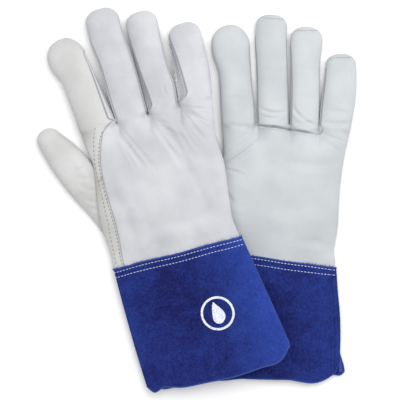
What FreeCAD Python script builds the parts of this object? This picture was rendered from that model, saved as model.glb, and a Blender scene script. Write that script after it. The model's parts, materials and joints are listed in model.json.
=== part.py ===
"""A pair of leather welding gloves lying on a flat surface, the right one across the left.

Millimetres, Z up. Each glove is drawn flat in its own frame: x across the hand with the index
finger on the minus side, y from the wrist (0) to the fingertips, z up from the surface under it.
The left glove lies with its palm up. The right glove lies with its back up, tilted about its long
axis so that its little-finger side rests on the left glove.

Every pouch of a glove (hand, finger, thumb, cuff) is a closed leather shell: an outer form less a
cavity. The shell is then cut along its seams into the pieces it is sewn from.
"""

import FreeCAD, Part

import math
import os

import Sketcher
from FreeCAD import Placement, Rotation, Vector

# alias, value, what it is (mm or degrees)
SIZES = [
    ("leather", 1.1, "thickness of the grain leather of hand and fingers"),
    ("cuff_leather", 1.4, "thickness of the suede of the cuff"),
    ("hand_high", 15, "height of the empty hand lying flat"),
    ("finger_high", 14, "height of a finger lying flat"),
    ("pinned_thumb_high", 10.5, "height of the left thumb, pressed flat under the right glove"),
    ("cuff_high", 10.6, "height of the cuff lying flat"),
    ("edge_round", 3, "rounding of the folded edges of hand and fingers"),
    ("cuff_round", 2.2, "rounding of the folded edges of the cuff"),
    ("wrist_wide", 118, "width at the wrist"),
    ("side_out", 61, "the little-finger side of the hand, from the middle, halfway up"),
    ("side_up", 80, "height along the hand of that widest place"),
    ("knuckle_up", 127, "wrist to the crotches of the fingers"),
    ("thumb_crotch_up", 92.5, "wrist to the crotch of the thumb"),
    ("thumb_crotch_out", 52.7, "the crotch of the thumb, from the middle"),
    ("joint_gap", 0.4, "gap between the hand and a finger at its fold line"),
    ("index_wide", 31.5, "width of the index finger"),
    ("middle_wide", 28.5, "width of the middle finger"),
    ("ring_wide", 27, "width of the ring finger"),
    ("little_wide", 28, "width of the little finger"),
    ("thumb_wide", 30.6, "width of the thumb at its base"),
    ("thumb_tip_wide", 24, "width of the thumb near its tip"),
    ("index_long", 81, "crotch line to the tip of the index finger"),
    ("middle_long", 98, "crotch line to the tip of the middle finger"),
    ("ring_long", 87, "crotch line to the tip of the ring finger"),
    ("little_long", 67, "crotch line to the tip of the little finger"),
    ("thumb_long", 54, "crotch line to the tip of the thumb"),
    ("tip_dome", 10, "height of the round end of a fingertip"),
    ("fourchette_wide", 7.4, "height of the side strips between the fingers"),
    ("fourchette_start", 3, "from the crotch to the start of a side strip"),
    ("strip_margin", 0.55, "how far the cut of a side strip reaches past the leather"),
    ("seam_up", 5, "height of the seam along the little-finger side"),
    ("panel_in", 2.5, "edge of the back panel at the wrist, inward of the turned-over strip's edge"),
    ("panel_bow", 5, "the same along the middle of the hand"),
    ("panel_low", 38.1, "height along the hand where the bow starts"),
    ("panel_bow_down", 42, "knuckles to where the bow ends"),
    ("panel_turn", 8, "edge of the back panel where it turns to the crotch of the index finger"),
    ("panel_turn_down", 20, "knuckles to where it turns"),
    ("cavity_past", 5, "how far a hollow runs on past the opening that it leaves by"),
    ("strip_wide", 8, "width of the index leather's edge turned over onto the back"),
    ("lap", 10, "how far the hand reaches into the cuff"),
    ("lap_side", 3, "how far the reaching part is narrower than the cuff at each side"),
    ("right_cuff_long", 118, "length of the right cuff"),
    ("left_cuff_long", 103, "length of the left cuff as it lies"),
    ("cuff_flare", 14, "how far the cuff widens on the little-finger side"),
    ("cuff_corner_rise", 9, "how much shorter the cuff is at its little-finger corner"),
    ("cuff_thumb_rise", 4, "how much shorter the cuff is at its thumb corner"),
    ("cuff_corner_round", 8, "rounding of the lower corners of the cuff"),
    ("vent_long", 24, "length of the open slit at the bottom of the cuff's side seam"),
    ("vent_deep", 5, "how far the slit takes the folded edge away"),
    ("stitch_long", 3, "length of a stitch"),
    ("stitch_wide", 0.9, "width of a stitch"),
    ("stitch_high", 0.5, "how far a stitch stands proud"),
    ("stitch_pitch", 4.4, "distance from one stitch to the next"),
    ("cuff_row", 3, "the cuff's top edge to its first row of stitches"),
    ("row_gap", 4.5, "distance between two rows of stitches"),
    ("back_row_out", 3.5, "outer row of back stitches, outward of the strip's edge"),
    ("tip_row_in", 1.5, "end of a fingertip's stitches, inward of its rounded side"),
    ("tip_row_drop", 4, "how far those ends lie below the dome's start"),
    ("tip_row_crown", 2, "how far the middle of that row lies above it"),
    ("emblem_round", 15, "outer radius of the ring printed on the cuff"),
    ("emblem_line", 2, "width of that ring's line"),
    ("emblem_across", 22, "middle of the ring from the middle of the cuff"),
    ("emblem_down", 60, "middle of the ring below the cuff's top edge"),
    ("print_high", 0.3, "thickness of the print"),
    ("flame_high", 20, "height of the flame in the ring"),
    ("flame_wide", 11, "width of the flame in the ring"),
    ("right_yaw", 14.8, "turn of the right glove"),
    ("left_yaw", -3, "turn of the left glove"),
    ("right_x", -16, "the right glove's wrist, before the pair is centred"),
    ("right_y", -45.5, "the right glove's wrist, before the pair is centred"),
    ("left_x", 64.5, "the left glove's wrist, before the pair is centred"),
    ("left_y", -59, "the left glove's wrist, before the pair is centred"),
    ("stack_gap", 0.6, "gap between the gloves where the right one lies on the left one"),
    ("thumb_clear", 1.2, "further gap between the tilted hand and the flat thumb"),
    ("surface_gap", 0.5, "gap between the surface and a fingertip that slopes down to it"),
    ("index_lean", 9.5, "turn of the index finger towards the thumb"),
    ("middle_lean", 4.2, "turn of the middle finger towards the thumb"),
    ("ring_lean", 1.4, "turn of the ring finger towards the thumb"),
    ("little_lean", -3.2, "turn of the little finger towards the thumb"),
    ("right_thumb_lean", 29.5, "turn of the right thumb away from the fingers"),
    ("left_thumb_lean", 20, "turn of the left thumb away from the fingers"),
    ("right_finger_gap", 2.2, "gap between neighbouring fingers of the right glove"),
    ("left_finger_gap", 0.7, "gap between neighbouring fingers of the left glove"),
    ("right_knuckle_left", 56.5, "thumb side of the right index finger, from the middle"),
    ("left_knuckle_left", 52.5, "thumb side of the left index finger, from the middle"),
]

FINGERS = ["index", "middle", "ring", "little"]
SIDES = ["right", "left"]
PAST = "20"  # how far a cutting form reaches past what it cuts
INNER_ROUNDING = "0.6"  # share of the wall that the rounding of a cavity loses
SIDE_SHARE = 0.4  # an edge further out than this share of the wrist's width is on a side
FINGER_LINE_SHARE = 0.25  # of the index finger's width: edges nearer the knuckles aren't sides
# the outer row of back stitches: across from its lower end, and share of the knuckles' height
BACK_ROW = ((1, 0.03), (3.5, 0.35), (4, 0.72), (7, 0.91))
# the flame's outline, as shares: widest place below the middle, radius of the base by the
# width, radius of the sides by the height
FLAME_BELLY, FLAME_BASE, FLAME_SIDES = "0.4", "0.62", "1.1"

doc = FreeCAD.newDocument("WeldingGloves")
sheet = doc.addObject("Spreadsheet::Sheet", "Sheet")
lines = 0

pieces = {}  # node name: (document object, placement before the pair is centred)


def cell(alias):
    """The expression that reads one size."""
    return f"Sheet.{alias}"


def size(expression):
    """The present value of an expression."""
    return float(sheet.evalExpression(expression))


def at(origin, lean, across, along):
    """Expressions for a point given in a frame that is turned by lean about origin."""
    x, y = origin
    return (
        f"{x} + ({across}) * cos({lean}) - ({along}) * sin({lean})",
        f"{y} + ({across}) * sin({lean}) + ({along}) * cos({lean})",
    )


def moved(point, across, along="0"):
    """Expressions for a point beside another."""
    return f"{point[0]} + ({across})", f"{point[1]} + ({along})"


# ---------------------------------------------------------------- forms


def plan_sketch(body, name, points, lift, arcs):
    """A closed outline in the plan, counter-clockwise.

    points are pairs of expressions. arcs maps the number of an edge to the expression of its
    radius; the edge is then an arc that bulges outwards.
    """
    sketch = body.newObject("Sketcher::SketchObject", name)
    plane = [f for f in body.Origin.OriginFeatures if f.Role == "XY_Plane"][0]
    sketch.AttachmentSupport = (plane, [""])
    sketch.MapMode = "FlatFace"
    sketch.setExpression("AttachmentOffset.Base.z", lift)
    corners = [Vector(size(x), size(y), 0) for x, y in points]
    count = len(corners)
    for edge in range(count):
        start = corners[edge]
        end = corners[(edge + 1) % count]
        if edge in arcs:
            radius = size(arcs[edge])
            half = (end - start).Length / 2
            rise = radius - math.sqrt(max(radius * radius - half * half, 0))
            out = (end - start).normalize().cross(Vector(0, 0, 1))
            top = (start + end) / 2 + out * rise
            sketch.addGeometry(Part.Arc(start, top, end), False)
        else:
            sketch.addGeometry(Part.LineSegment(start, end), False)
    for edge in range(count):
        sketch.addConstraint(Sketcher.Constraint("Coincident", edge, 2, (edge + 1) % count, 1))
    for edge, (x, y) in enumerate(points):
        for kind, expression in (("DistanceX", x), ("DistanceY", y)):
            mark = sketch.addConstraint(Sketcher.Constraint(kind, edge, 1, size(expression)))
            sketch.setExpression(f"Constraints[{mark}]", expression)
    for edge, radius in arcs.items():
        mark = sketch.addConstraint(Sketcher.Constraint("Radius", edge, size(radius)))
        sketch.setExpression(f"Constraints[{mark}]", radius)
    return sketch


def slab(body, name, points, low, high, arcs=None):
    """A pad of an outline, from the height low to the height high."""
    sketch = plan_sketch(body, name + "_outline", points, low, arcs or {})
    pad = body.newObject("PartDesign::Pad", name)
    pad.Profile = sketch
    pad.setExpression("Length", f"{high} - ({low})")
    doc.recompute()
    return pad


def soften(body, base, name, radius, keep):
    """Round the upper and lower edges of a pad for which keep(middle, direction) is true."""
    low = base.Shape.BoundBox.ZMin
    high = base.Shape.BoundBox.ZMax
    edges = []
    for number, edge in enumerate(base.Shape.Edges, start=1):
        box = edge.BoundBox
        level = box.ZLength < 1e-6 and min(abs(box.ZMin - low), abs(box.ZMin - high)) < 1e-6
        if level and keep(edge):
            edges.append(f"Edge{number}")
    fillet = body.newObject("PartDesign::Fillet", name)
    fillet.Base = (base, edges)
    fillet.setExpression("Radius", radius)
    doc.recompute()
    return fillet


def corner_round(body, base, name, radius, keep):
    """Round the upright edges of a pad for which keep(edge) is true."""
    edges = []
    for number, edge in enumerate(base.Shape.Edges, start=1):
        box = edge.BoundBox
        if box.XLength < 1e-6 and box.YLength < 1e-6 and keep(edge):
            edges.append(f"Edge{number}")
    fillet = body.newObject("PartDesign::Fillet", name)
    fillet.Base = (base, edges)
    fillet.setExpression("Radius", radius)
    doc.recompute()
    return fillet


def boolean(kind, name, base, tool):
    """One of the Part booleans on two objects."""
    result = doc.addObject(f"Part::{kind}", name)
    result.Base = base
    result.Tool = tool
    return result


def block(name, low, high):
    """A box between two corners given as triples of expressions."""
    box = doc.addObject("Part::Box", name)
    for axis, side, start, end in zip("xyz", ("Length", "Width", "Height"), low, high):
        box.setExpression(side, f"{end} - ({start})")
        box.setExpression(f"Placement.Base.{axis}", start)
    return box


def keep_piece(name, shape, placement):
    """Register a finished piece of the glove."""
    shape.Label = name
    pieces[name] = (shape, placement)


# ---------------------------------------------------------------- places


def lean_of(side, digit):
    """The expression of a digit's turn in the plan of its glove."""
    return cell(f"{side}_thumb_lean") if digit == "thumb" else cell(f"{digit}_lean")


def droop_of(side, digit):
    """The expression of a digit's slope down to the surface."""
    return cell(f"right_{digit}_droop") if side == "right" and digit != "thumb" else "0"


def height_of(side, digit):
    """The expression of a digit's height lying flat."""
    if digit == "thumb" and side == "left":
        return cell("pinned_thumb_high")
    return cell("finger_high")


def base_of(side, digit):
    """Expressions for the middle of a digit's fold line, in the frame of its glove."""
    if digit == "thumb":
        crotch = (f"0 - {cell('thumb_crotch_out')}", cell("thumb_crotch_up"))
        return at(crotch, lean_of(side, digit), f"0 - {cell('thumb_wide')} / 2", "0")
    across = f"0 - {cell(side + '_knuckle_left')}"
    for before in FINGERS[: FINGERS.index(digit)]:
        across += f" + {cell(before + '_wide')} + {cell(side + '_finger_gap')}"
    return f"{across} + {cell(digit + '_wide')} / 2", cell("knuckle_up")


def fold_end(side, digit, towards):
    """Expressions for one end of the hand's edge at a digit; towards is -1 or 1 across it.

    The edge stays clear of the digit's lower corner, which a drooping digit swings to the hand.
    """
    gap = cell("thumb_gap") if (side, digit) == ("right", "thumb") else cell("joint_gap")
    back = f"0 - {gap} - {height_of(side, digit)} * sin({droop_of(side, digit)})"
    half = f"({towards}) * {cell(digit + '_wide')} / 2"
    return at(base_of(side, digit), lean_of(side, digit), half, back)


def in_right_frame(point):
    """The x of a point of the left glove's plan in the untilted frame of the right glove."""
    left = Placement(
        Vector(size(cell("left_x")), size(cell("left_y")), 0),
        Rotation(Vector(0, 0, 1), size(cell("left_yaw"))),
    )
    right = Placement(
        Vector(size(cell("right_x")), size(cell("right_y")), 0),
        Rotation(Vector(0, 0, 1), size(cell("right_yaw"))),
    )
    there = left.multVec(Vector(size(point[0]), size(point[1]), 0))
    return right.inverse().multVec(there).x


def stack_tilt():
    """The right glove's tilt: just enough to clear the left hand, thumb and cuff under it."""
    gap = size(cell("stack_gap"))
    edge = size(cell("tilt_edge"))
    lean = lean_of("left", "thumb")
    half_tip = f"0 - {cell('thumb_tip_wide')} / 2"
    under = [
        (fold_end("left", "thumb", -1), cell("hand_high")),
        (fold_end("left", "index", -1), cell("hand_high")),
        (at(base_of("left", "thumb"), lean, half_tip, cell("thumb_long")), cell("pinned_thumb_high")),
        (cuff_corners("left", "0", "0")[0], cell("cuff_high")),
        (cuff_corners("left", "0", "0")[4], cell("cuff_high")),
    ]
    slopes = [(size(high) + gap) / (in_right_frame(point) + edge) for point, high in under]
    return math.degrees(math.asin(max(slopes)))


def finger_droop(digit):
    """How far a finger of the tilted right glove slopes for its tip to reach the surface."""
    long = size(cell(f"{digit}_long"))
    across = size(base_of("right", digit)[0]) - size(cell(f"{digit}_wide")) / 2
    across -= long * math.sin(math.radians(size(cell(f"{digit}_lean"))))
    rise = (across + size(cell("tilt_edge"))) * math.sin(math.radians(size(cell("tilt"))))
    return math.degrees(math.asin((rise - size(cell("surface_gap"))) / long))


def add_cell(alias, value, meaning):
    """Put one size into the sheet, on its next free line."""
    global lines
    lines += 1
    sheet.set(f"A{lines}", meaning)
    sheet.set(f"B{lines}", str(value))
    sheet.setAlias(f"B{lines}", alias)
    doc.recompute()


def add_derived_cells():
    """The sizes that follow from how the right glove rests on the surface and the left glove."""
    root = at(base_of("right", "thumb"), lean_of("right", "thumb"), f"0 - {cell('thumb_wide')} / 2", "0")
    add_cell("tilt_edge", -size(root[0]), "the line the right glove tilts about, from its middle")
    add_cell("tilt", stack_tilt(), "tilt of the right glove about its long axis")
    tallest = max(size(cell("hand_high")), size(cell("finger_high")))
    reach = size(f"{tallest} * sin({cell('tilt')}) + {cell('thumb_clear')}")
    add_cell("thumb_gap", reach, "gap between the tilted hand and the flat thumb at its fold line")
    for digit in FINGERS:
        add_cell(f"right_{digit}_droop", finger_droop(digit), f"slope of the right {digit} finger")


def glove_place(side):
    """Where a glove's frame lies, before the pair is centred."""
    turn = Placement(
        Vector(size(cell(f"{side}_x")), size(cell(f"{side}_y")), 0),
        Rotation(Vector(0, 0, 1), size(cell(f"{side}_yaw"))),
    )
    if side == "left":
        return turn
    edge = Vector(-size(cell("tilt_edge")), 0, 0)
    tilt = Placement(Vector(), Rotation(Vector(0, 1, 0), -size(cell("tilt"))), edge)
    return turn * tilt


def digit_place(side, digit):
    """Where a digit's frame lies: its origin in the middle of the fold line, at the underside."""
    x, y = base_of(side, digit)
    high = size(height_of(side, digit))
    lean = size(lean_of(side, digit))
    if digit == "thumb":
        # the thumb lies flat on the surface, whatever the hand's tilt
        base = glove_place(side).multVec(Vector(size(x), size(y), 0))
        base.z = 0
        return Placement(base, Rotation(Vector(0, 0, 1), size(cell(f"{side}_yaw")) + lean))
    hinge = Placement(Vector(size(x), size(y), high), Rotation(Vector(0, 0, 1), lean))
    droop = Placement(Vector(), Rotation(Vector(1, 0, 0), -size(droop_of(side, digit))))
    return glove_place(side) * hinge * droop * Placement(Vector(0, 0, -high), Rotation())


def fold_line(side, digit):
    """The middle and the direction of the line that a digit folds about, on its upper face."""
    place = digit_place(side, digit)
    middle = place.multVec(Vector(0, 0, size(height_of(side, digit))))
    return middle, place.Rotation.multVec(Vector(1, 0, 0))


# ---------------------------------------------------------------- digits


def digit_form(name, digit, high, inset):
    """The outer form of a digit, or with an inset its cavity, open past the fold line."""
    wide = cell(f"{digit}_wide")
    tip_wide = cell("thumb_tip_wide") if digit == "thumb" else wide
    half = f"({wide} / 2 - {inset})"
    tip_half = f"({tip_wide} / 2 - {inset})"
    top = f"({cell(digit + '_long')} - {inset} - {cell('tip_dome')})"
    start = "0" if inset == "0" else f"0 - {inset}"
    points = [
        (f"0 - {half}", start),
        (half, start),
        (tip_half, top),
        (f"0 - {tip_half}", top),
    ]
    dome = cell("tip_dome")
    radius = f"({tip_half} * {tip_half} + {dome} * {dome}) / (2 * {dome})"
    body = doc.addObject("PartDesign::Body", name)
    pad = slab(body, name + "_pad", points, inset, f"{high} - {inset}", {2: radius})
    first = size(start)
    soften(
        body, pad, name + "_soft", f"{cell('edge_round')} - {inset} * {INNER_ROUNDING}",
        lambda edge: abs(edge.CenterOfMass.y - first) > 1e-6,
    )
    return body


def make_digit(side, digit):
    """The pieces of one finger or thumb."""
    name = f"{side}_{digit}"
    high = height_of(side, digit)
    place = digit_place(side, digit)
    outer = digit_form(name + "_outer", digit, high, "0")
    cavity = digit_form(name + "_cavity", digit, high, cell("leather"))
    rest = boolean("Cut", name + "_shell", outer, cavity)

    half = f"{cell(digit + '_wide')} / 2"
    low = f"({high} - {cell('fourchette_wide')}) / 2"
    top = f"({high} + {cell('fourchette_wide')}) / 2"
    start = cell("fourchette_start")
    end = f"{cell(digit + '_long')} - {cell('tip_dome')}"
    inner = f"{half} - {cell('leather')} - {cell('strip_margin')}"
    strips = {
        "thumb_side": ((f"0 - {half} - 1", start, low), (f"0 - ({inner})", end, top)),
        "little_side": ((inner, start, low), (f"{half} + 1", end, top)),
    }
    where = {
        "thumb": [], "index": ["little_side"], "middle": ["thumb_side", "little_side"],
        "ring": ["thumb_side", "little_side"], "little": ["thumb_side"],
    }[digit]
    for strip in where:
        cutter = block(f"{name}_{strip}_strip", *strips[strip])
        keep_piece(
            f"{name}_fourchette_{strip}",
            boolean("Common", f"{name}_{strip}_fourchette", rest, cutter), place,
        )
        rest = boolean("Cut", f"{name}_{strip}_rest", rest, cutter)
    if digit == "index":
        keep_piece(f"{name}_wrap", rest, place)
        return
    upper = block(
        name + "_upper_half",
        (f"0 - {half} - {PAST}", f"0 - {PAST}", f"{high} / 2"),
        (f"{half} + {PAST}", f"{cell(digit + '_long')} + {PAST}", f"{high} + {PAST}"),
    )
    faces = ("back", "front") if side == "right" else ("front", "back")
    if digit == "thumb":
        faces = ("outer", "inner") if side == "right" else ("inner", "outer")
    keep_piece(f"{name}_{faces[0]}", boolean("Common", name + "_upper", rest, upper), place)
    keep_piece(f"{name}_{faces[1]}", boolean("Cut", name + "_lower", rest, upper), place)


# ---------------------------------------------------------------- hand


def hand_outline(side):
    """The plan of the hand between the wrist, the fold lines and the sides."""
    half = f"{cell('wrist_wide')} / 2"
    points = [
        (f"0 - {half}", "0"),
        (half, "0"),
        (cell("side_out"), cell("side_up")),
    ]
    for digit in reversed(FINGERS):
        points.append(fold_end(side, digit, 1))
        points.append(fold_end(side, digit, -1))
    points.append(fold_end(side, "thumb", 1))
    points.append(fold_end(side, "thumb", -1))
    return points


def hand_cavity_outline(side):
    """The plan of the space inside the hand, open towards the fingers and the thumb."""
    wall = cell("leather")
    half = f"({cell('wrist_wide')} / 2 - {wall})"
    past = f"{cell('knuckle_up')} + {PAST}"
    lean = lean_of(side, "thumb")
    crotch = fold_end(side, "thumb", 1)
    return [
        (f"0 - {half}", wall),
        (half, wall),
        moved((cell("side_out"), cell("side_up")), f"0 - {wall}"),
        (f"{fold_end(side, 'little', 1)[0]} - {wall}", past),
        (f"{fold_end(side, 'index', -1)[0]} + {wall}", past),
        moved(fold_end(side, "index", -1), wall),
        moved(crotch, wall),
        at(crotch, lean, f"0 - {wall}", cell("cavity_past")),
        at(fold_end(side, "thumb", -1), lean, wall, cell("cavity_past")),
    ]


def side_edge(side):
    """Whether an edge of the hand lies along one of its folded sides."""
    crotch = size(fold_end(side, "thumb", 1)[1])
    root = [size(e) for e in fold_end(side, "thumb", -1)]
    finger_line = size(cell("knuckle_up")) - size(cell("index_wide")) * FINGER_LINE_SHARE
    side_x = size(cell("wrist_wide")) * SIDE_SHARE

    def keep(edge):
        middle = edge.CenterOfMass
        if middle.x > 0:
            return middle.x > side_x and 1 < middle.y < finger_line
        above_crotch = crotch < middle.y < finger_line
        below_root = 1 < middle.y < root[1]
        return (above_crotch or below_root) and middle.x < -side_x

    return keep


def make_hand(side):
    """The back panel and the palm leather, which also covers the index side."""
    name = f"{side}_hand"
    place = glove_place(side)
    wall = cell("leather")
    high = cell("hand_high")
    reach = f"0 - {cell('lap')}"
    tongue = f"({cell('wrist_wide')} / 2 - {cell('cuff_leather')} - {cell('lap_side')})"

    outer = doc.addObject("PartDesign::Body", name + "_outer")
    pad = slab(outer, name + "_pad", hand_outline(side), "0", high)
    soften(outer, pad, name + "_soft", cell("edge_round"), side_edge(side))
    lap_points = [(f"0 - {tongue}", reach), (tongue, reach), (tongue, wall), (f"0 - {tongue}", wall)]
    lap_low = cell("cuff_leather")
    lap_high = f"({cell('cuff_high')} - {cell('cuff_leather')})"
    slab(outer, name + "_lap", lap_points, lap_low, lap_high)

    cavity = doc.addObject("PartDesign::Body", name + "_cavity")
    slab(cavity, name + "_space", hand_cavity_outline(side), wall, f"{high} - {wall}")
    throat = f"({tongue} - {wall})"
    deep = f"{reach} - 1"
    ahead = f"{wall} + 1"
    throat_points = [(f"0 - {throat}", deep), (throat, deep), (throat, ahead), (f"0 - {throat}", ahead)]
    slab(cavity, name + "_throat", throat_points, f"{lap_low} + {wall}", f"{lap_high} - {wall}")
    shell = boolean("Cut", name + "_shell", outer, cavity)

    # the back panel ends at the turned-over edge of the index leather
    edge_x = f"(0 - {cell('wrist_wide')} / 2 + {cell('strip_wide')})"
    far_x = f"{cell('side_out')} + {PAST}"
    far_y = f"{cell('knuckle_up')} + {PAST}"
    low, top = (cell("seam_up"), f"{high} + 1") if side == "right" else ("0 - 1", cell("seam_up"))
    region = doc.addObject("PartDesign::Body", name + "_back_region")
    crotch_x = fold_end(side, "index", 1)[0]
    points = [
        (f"{edge_x} + {cell('panel_in')}", f"{reach} - 1"),
        (far_x, f"{reach} - 1"),
        (far_x, far_y),
        (crotch_x, far_y),
        (crotch_x, cell("knuckle_up")),
        (f"{edge_x} + {cell('panel_turn')}", f"{cell('knuckle_up')} - {cell('panel_turn_down')}"),
        (f"{edge_x} + {cell('panel_bow')}", f"{cell('knuckle_up')} - {cell('panel_bow_down')}"),
        (f"{edge_x} + {cell('panel_bow')}", cell("panel_low")),
    ]
    slab(region, name + "_back_area", points, low, top)
    keep_piece(f"{side}_back_panel", boolean("Common", name + "_back", shell, region), place)
    keep_piece(f"{side}_palm_panel", boolean("Cut", name + "_palm", shell, region), place)


# ---------------------------------------------------------------- cuff


def cuff_corners(side, inset, past):
    """The plan of the cuff; inset narrows it and past lengthens it at both ends."""
    half = f"({cell('wrist_wide')} / 2 - {inset})"
    long = cell(f"{side}_cuff_long")
    end = f"({half} + {cell('cuff_flare')} * (1 + {past} / {long}))"
    return [
        (f"0 - {half}", f"0 - {long} + {cell('cuff_thumb_rise')} - {past}"),
        ("0", f"0 - {long} - {past}"),
        (end, f"0 - {long} + {cell('cuff_corner_rise')} - {past}"),
        (half, past),
        (f"0 - {half}", past),
    ]


def make_cuff(side):
    """The two suede pieces of the gauntlet cuff, sewn at the sides, with a vent."""
    name = f"{side}_cuff"
    place = glove_place(side)
    high = cell("cuff_high")
    wall = cell("cuff_leather")
    long = cell(f"{side}_cuff_long")
    outer = doc.addObject("PartDesign::Body", name + "_outer")
    pad = slab(outer, name + "_pad", cuff_corners(side, "0", "0"), "0", high)
    lower = -0.5 * size(long)
    tip = corner_round(
        outer, pad, name + "_corners", cell("cuff_corner_round"),
        lambda edge: edge.CenterOfMass.y < lower and abs(edge.CenterOfMass.x) > 1,
    )
    side_x = size(cell("wrist_wide")) * SIDE_SHARE
    soften(
        outer, tip, name + "_soft", cell("cuff_round"),
        lambda edge: abs(edge.CenterOfMass.x) > side_x and edge.Length > 20,
    )
    cavity = doc.addObject("PartDesign::Body", name + "_cavity")
    slab(cavity, name + "_space", cuff_corners(side, wall, cell("cavity_past")), wall, f"{high} - {wall}")
    shell = boolean("Cut", name + "_shell", outer, cavity)

    vent = doc.addObject("PartDesign::Body", name + "_vent")
    corner = cuff_corners(side, "0", "0")[2]
    deep = cell("vent_deep")
    slope = f"{cell('cuff_flare')} / {long}"
    up = f"({cell('vent_long')})"
    points = [
        (f"{corner[0]} - {deep}", f"0 - {long} - {PAST}"),
        (f"{corner[0]} + {deep}", f"0 - {long} - {PAST}"),
        (f"{corner[0]} + {deep}", f"{corner[1]} + {up}"),
        (f"{corner[0]} - {up} * {slope} - {deep} / 2", f"{corner[1]} + {up}"),
    ]
    slab(vent, name + "_vent_space", points, wall, f"{high} - {wall}")
    slit = boolean("Cut", name + "_slit", shell, vent)

    far = f"({cell('wrist_wide')} + {PAST})"
    upper = block(
        name + "_upper_half",
        (f"0 - {far}", f"0 - {long} - {PAST}", f"{high} / 2"),
        (far, PAST, f"{high} + {PAST}"),
    )
    faces = ("back", "palm") if side == "right" else ("palm", "back")
    keep_piece(f"{name}_{faces[0]}", boolean("Common", name + "_upper", slit, upper), place)
    keep_piece(f"{name}_{faces[1]}", boolean("Cut", name + "_lower", slit, upper), place)


# ---------------------------------------------------------------- stitches and print


def stitch_row(path, height):
    """Small bars laid along a curve, one pitch apart, standing on the given height."""
    pitch = size(cell("stitch_pitch"))
    long = size(cell("stitch_long"))
    wide = size(cell("stitch_wide"))
    proud = size(cell("stitch_high"))
    count = int(path.length() // pitch)
    bars = []
    for number in range(count):
        place = path.parameterAtDistance((number + 0.5) * pitch, path.FirstParameter)
        middle = path.value(place)
        ahead = path.tangent(place)[0]
        bar = Part.makeBox(long, wide, proud, Vector(-long / 2, -wide / 2, 0))
        turn = math.degrees(math.atan2(ahead.y, ahead.x))
        bar.Placement = Placement(Vector(middle.x, middle.y, height), Rotation(Vector(0, 0, 1), turn))
        bars.append(bar)
    return bars


def keep_group(name, solids, placement):
    """Register a group of separate solids that share a node."""
    group = doc.addObject("Part::Feature", name + "_group")
    group.Shape = Part.makeCompound(solids)
    keep_piece(name, group, placement)


def curve_through(points):
    """A smooth curve through a few points of the plan."""
    curve = Part.BSplineCurve()
    curve.interpolate([Vector(x, y, 0) for x, y in points])
    return curve


def make_cuff_stitching(side):
    """Two rows that hold the cuff to the hand, just below the cuff's top edge."""
    half = size(cell("wrist_wide")) / 2 - size(cell("cuff_round")) - 1
    bars = []
    for row in range(2):
        y = -size(cell("cuff_row")) - row * size(cell("row_gap"))
        line = curve_through([(-half, y), (half, y)])
        bars += stitch_row(line, size(cell("cuff_high")))
    keep_group(f"{side}_cuff_stitching", bars, glove_place(side))


def make_back_stitching():
    """Two rows that hold the index leather's turned-over edge to the back panel."""
    edge = -size(cell("wrist_wide")) / 2 + size(cell("strip_wide"))
    knuckle = size(cell("knuckle_up"))
    bars = []
    for row in range(2):
        shift = edge - size(cell("back_row_out")) + row * size(cell("row_gap"))
        line = curve_through([(shift + across, knuckle * share) for across, share in BACK_ROW])
        bars += stitch_row(line, size(cell("hand_high")))
    keep_group("right_back_seam_stitching", bars, glove_place("right"))


def make_tip_stitching(digit):
    """The seam stitches that show over the tip of a palm-up finger."""
    long = size(cell(f"{digit}_long")) - size(cell("tip_dome")) - size(cell("edge_round"))
    half = size(cell(f"{digit}_wide")) / 2 - size(cell("edge_round")) - size(cell("tip_row_in"))
    end = long - size(cell("tip_row_drop"))
    line = curve_through([(-half, end), (0, long + size(cell("tip_row_crown"))), (half, end)])
    bars = stitch_row(line, size(height_of("left", digit)))
    keep_group(f"left_{digit}_tip_stitching", bars, digit_place("left", digit))


def make_emblem():
    """A plain printed ring with a flame in it, on the back of the right cuff."""
    across = cell("emblem_across")
    down = f"0 - {cell('emblem_down')}"
    level = cell("cuff_high")
    ring = {}
    for part, radius in (("disc", cell("emblem_round")),
                         ("eye", f"{cell('emblem_round')} - {cell('emblem_line')}")):
        round_form = doc.addObject("Part::Cylinder", f"emblem_{part}")
        round_form.setExpression("Radius", radius)
        round_form.setExpression("Height", cell("print_high"))
        for axis, expression in zip("xyz", (across, down, level)):
            round_form.setExpression(f"Placement.Base.{axis}", expression)
        ring[part] = round_form
    place = glove_place("right")
    keep_piece("right_cuff_emblem_ring", boolean("Cut", "emblem_ring", ring["disc"], ring["eye"]), place)

    body = doc.addObject("PartDesign::Body", "emblem_flame")
    half = f"{cell('flame_wide')} / 2"
    rise = f"{cell('flame_high')} / 2"
    middle = (across, down)
    points = [
        moved(middle, f"0 - {half}", f"0 - {rise} * {FLAME_BELLY}"),
        moved(middle, "0", f"0 - {rise}"),
        moved(middle, half, f"0 - {rise} * {FLAME_BELLY}"),
        moved(middle, "0", rise),
    ]
    round_base = f"{cell('flame_wide')} * {FLAME_BASE}"
    long_side = f"{cell('flame_high')} * {FLAME_SIDES}"
    arcs = {0: round_base, 1: round_base, 2: long_side, 3: long_side}
    slab(body, "emblem_flame_print", points, level, f"{level} + {cell('print_high')}", arcs)
    keep_piece("right_cuff_emblem_flame", body, place)


# ---------------------------------------------------------------- the pair


def make_pair():
    """Every piece of both gloves."""
    for side in SIDES:
        make_hand(side)
        make_cuff(side)
        make_cuff_stitching(side)
        for digit in FINGERS + ["thumb"]:
            make_digit(side, digit)
    make_back_stitching()
    make_emblem()
    for digit in ("middle", "ring", "little"):
        make_tip_stitching(digit)


def pair_middle():
    """The middle of the pair's outline in the plan; the surface under it is at height 0."""
    box = FreeCAD.BoundBox()
    for shape, placement in pieces.values():
        whole = shape.Shape.copy()
        whole.Placement = placement
        box.add(whole.optimalBoundingBox(False, False))
    return Vector(box.Center.x, box.Center.y, 0)


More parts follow.
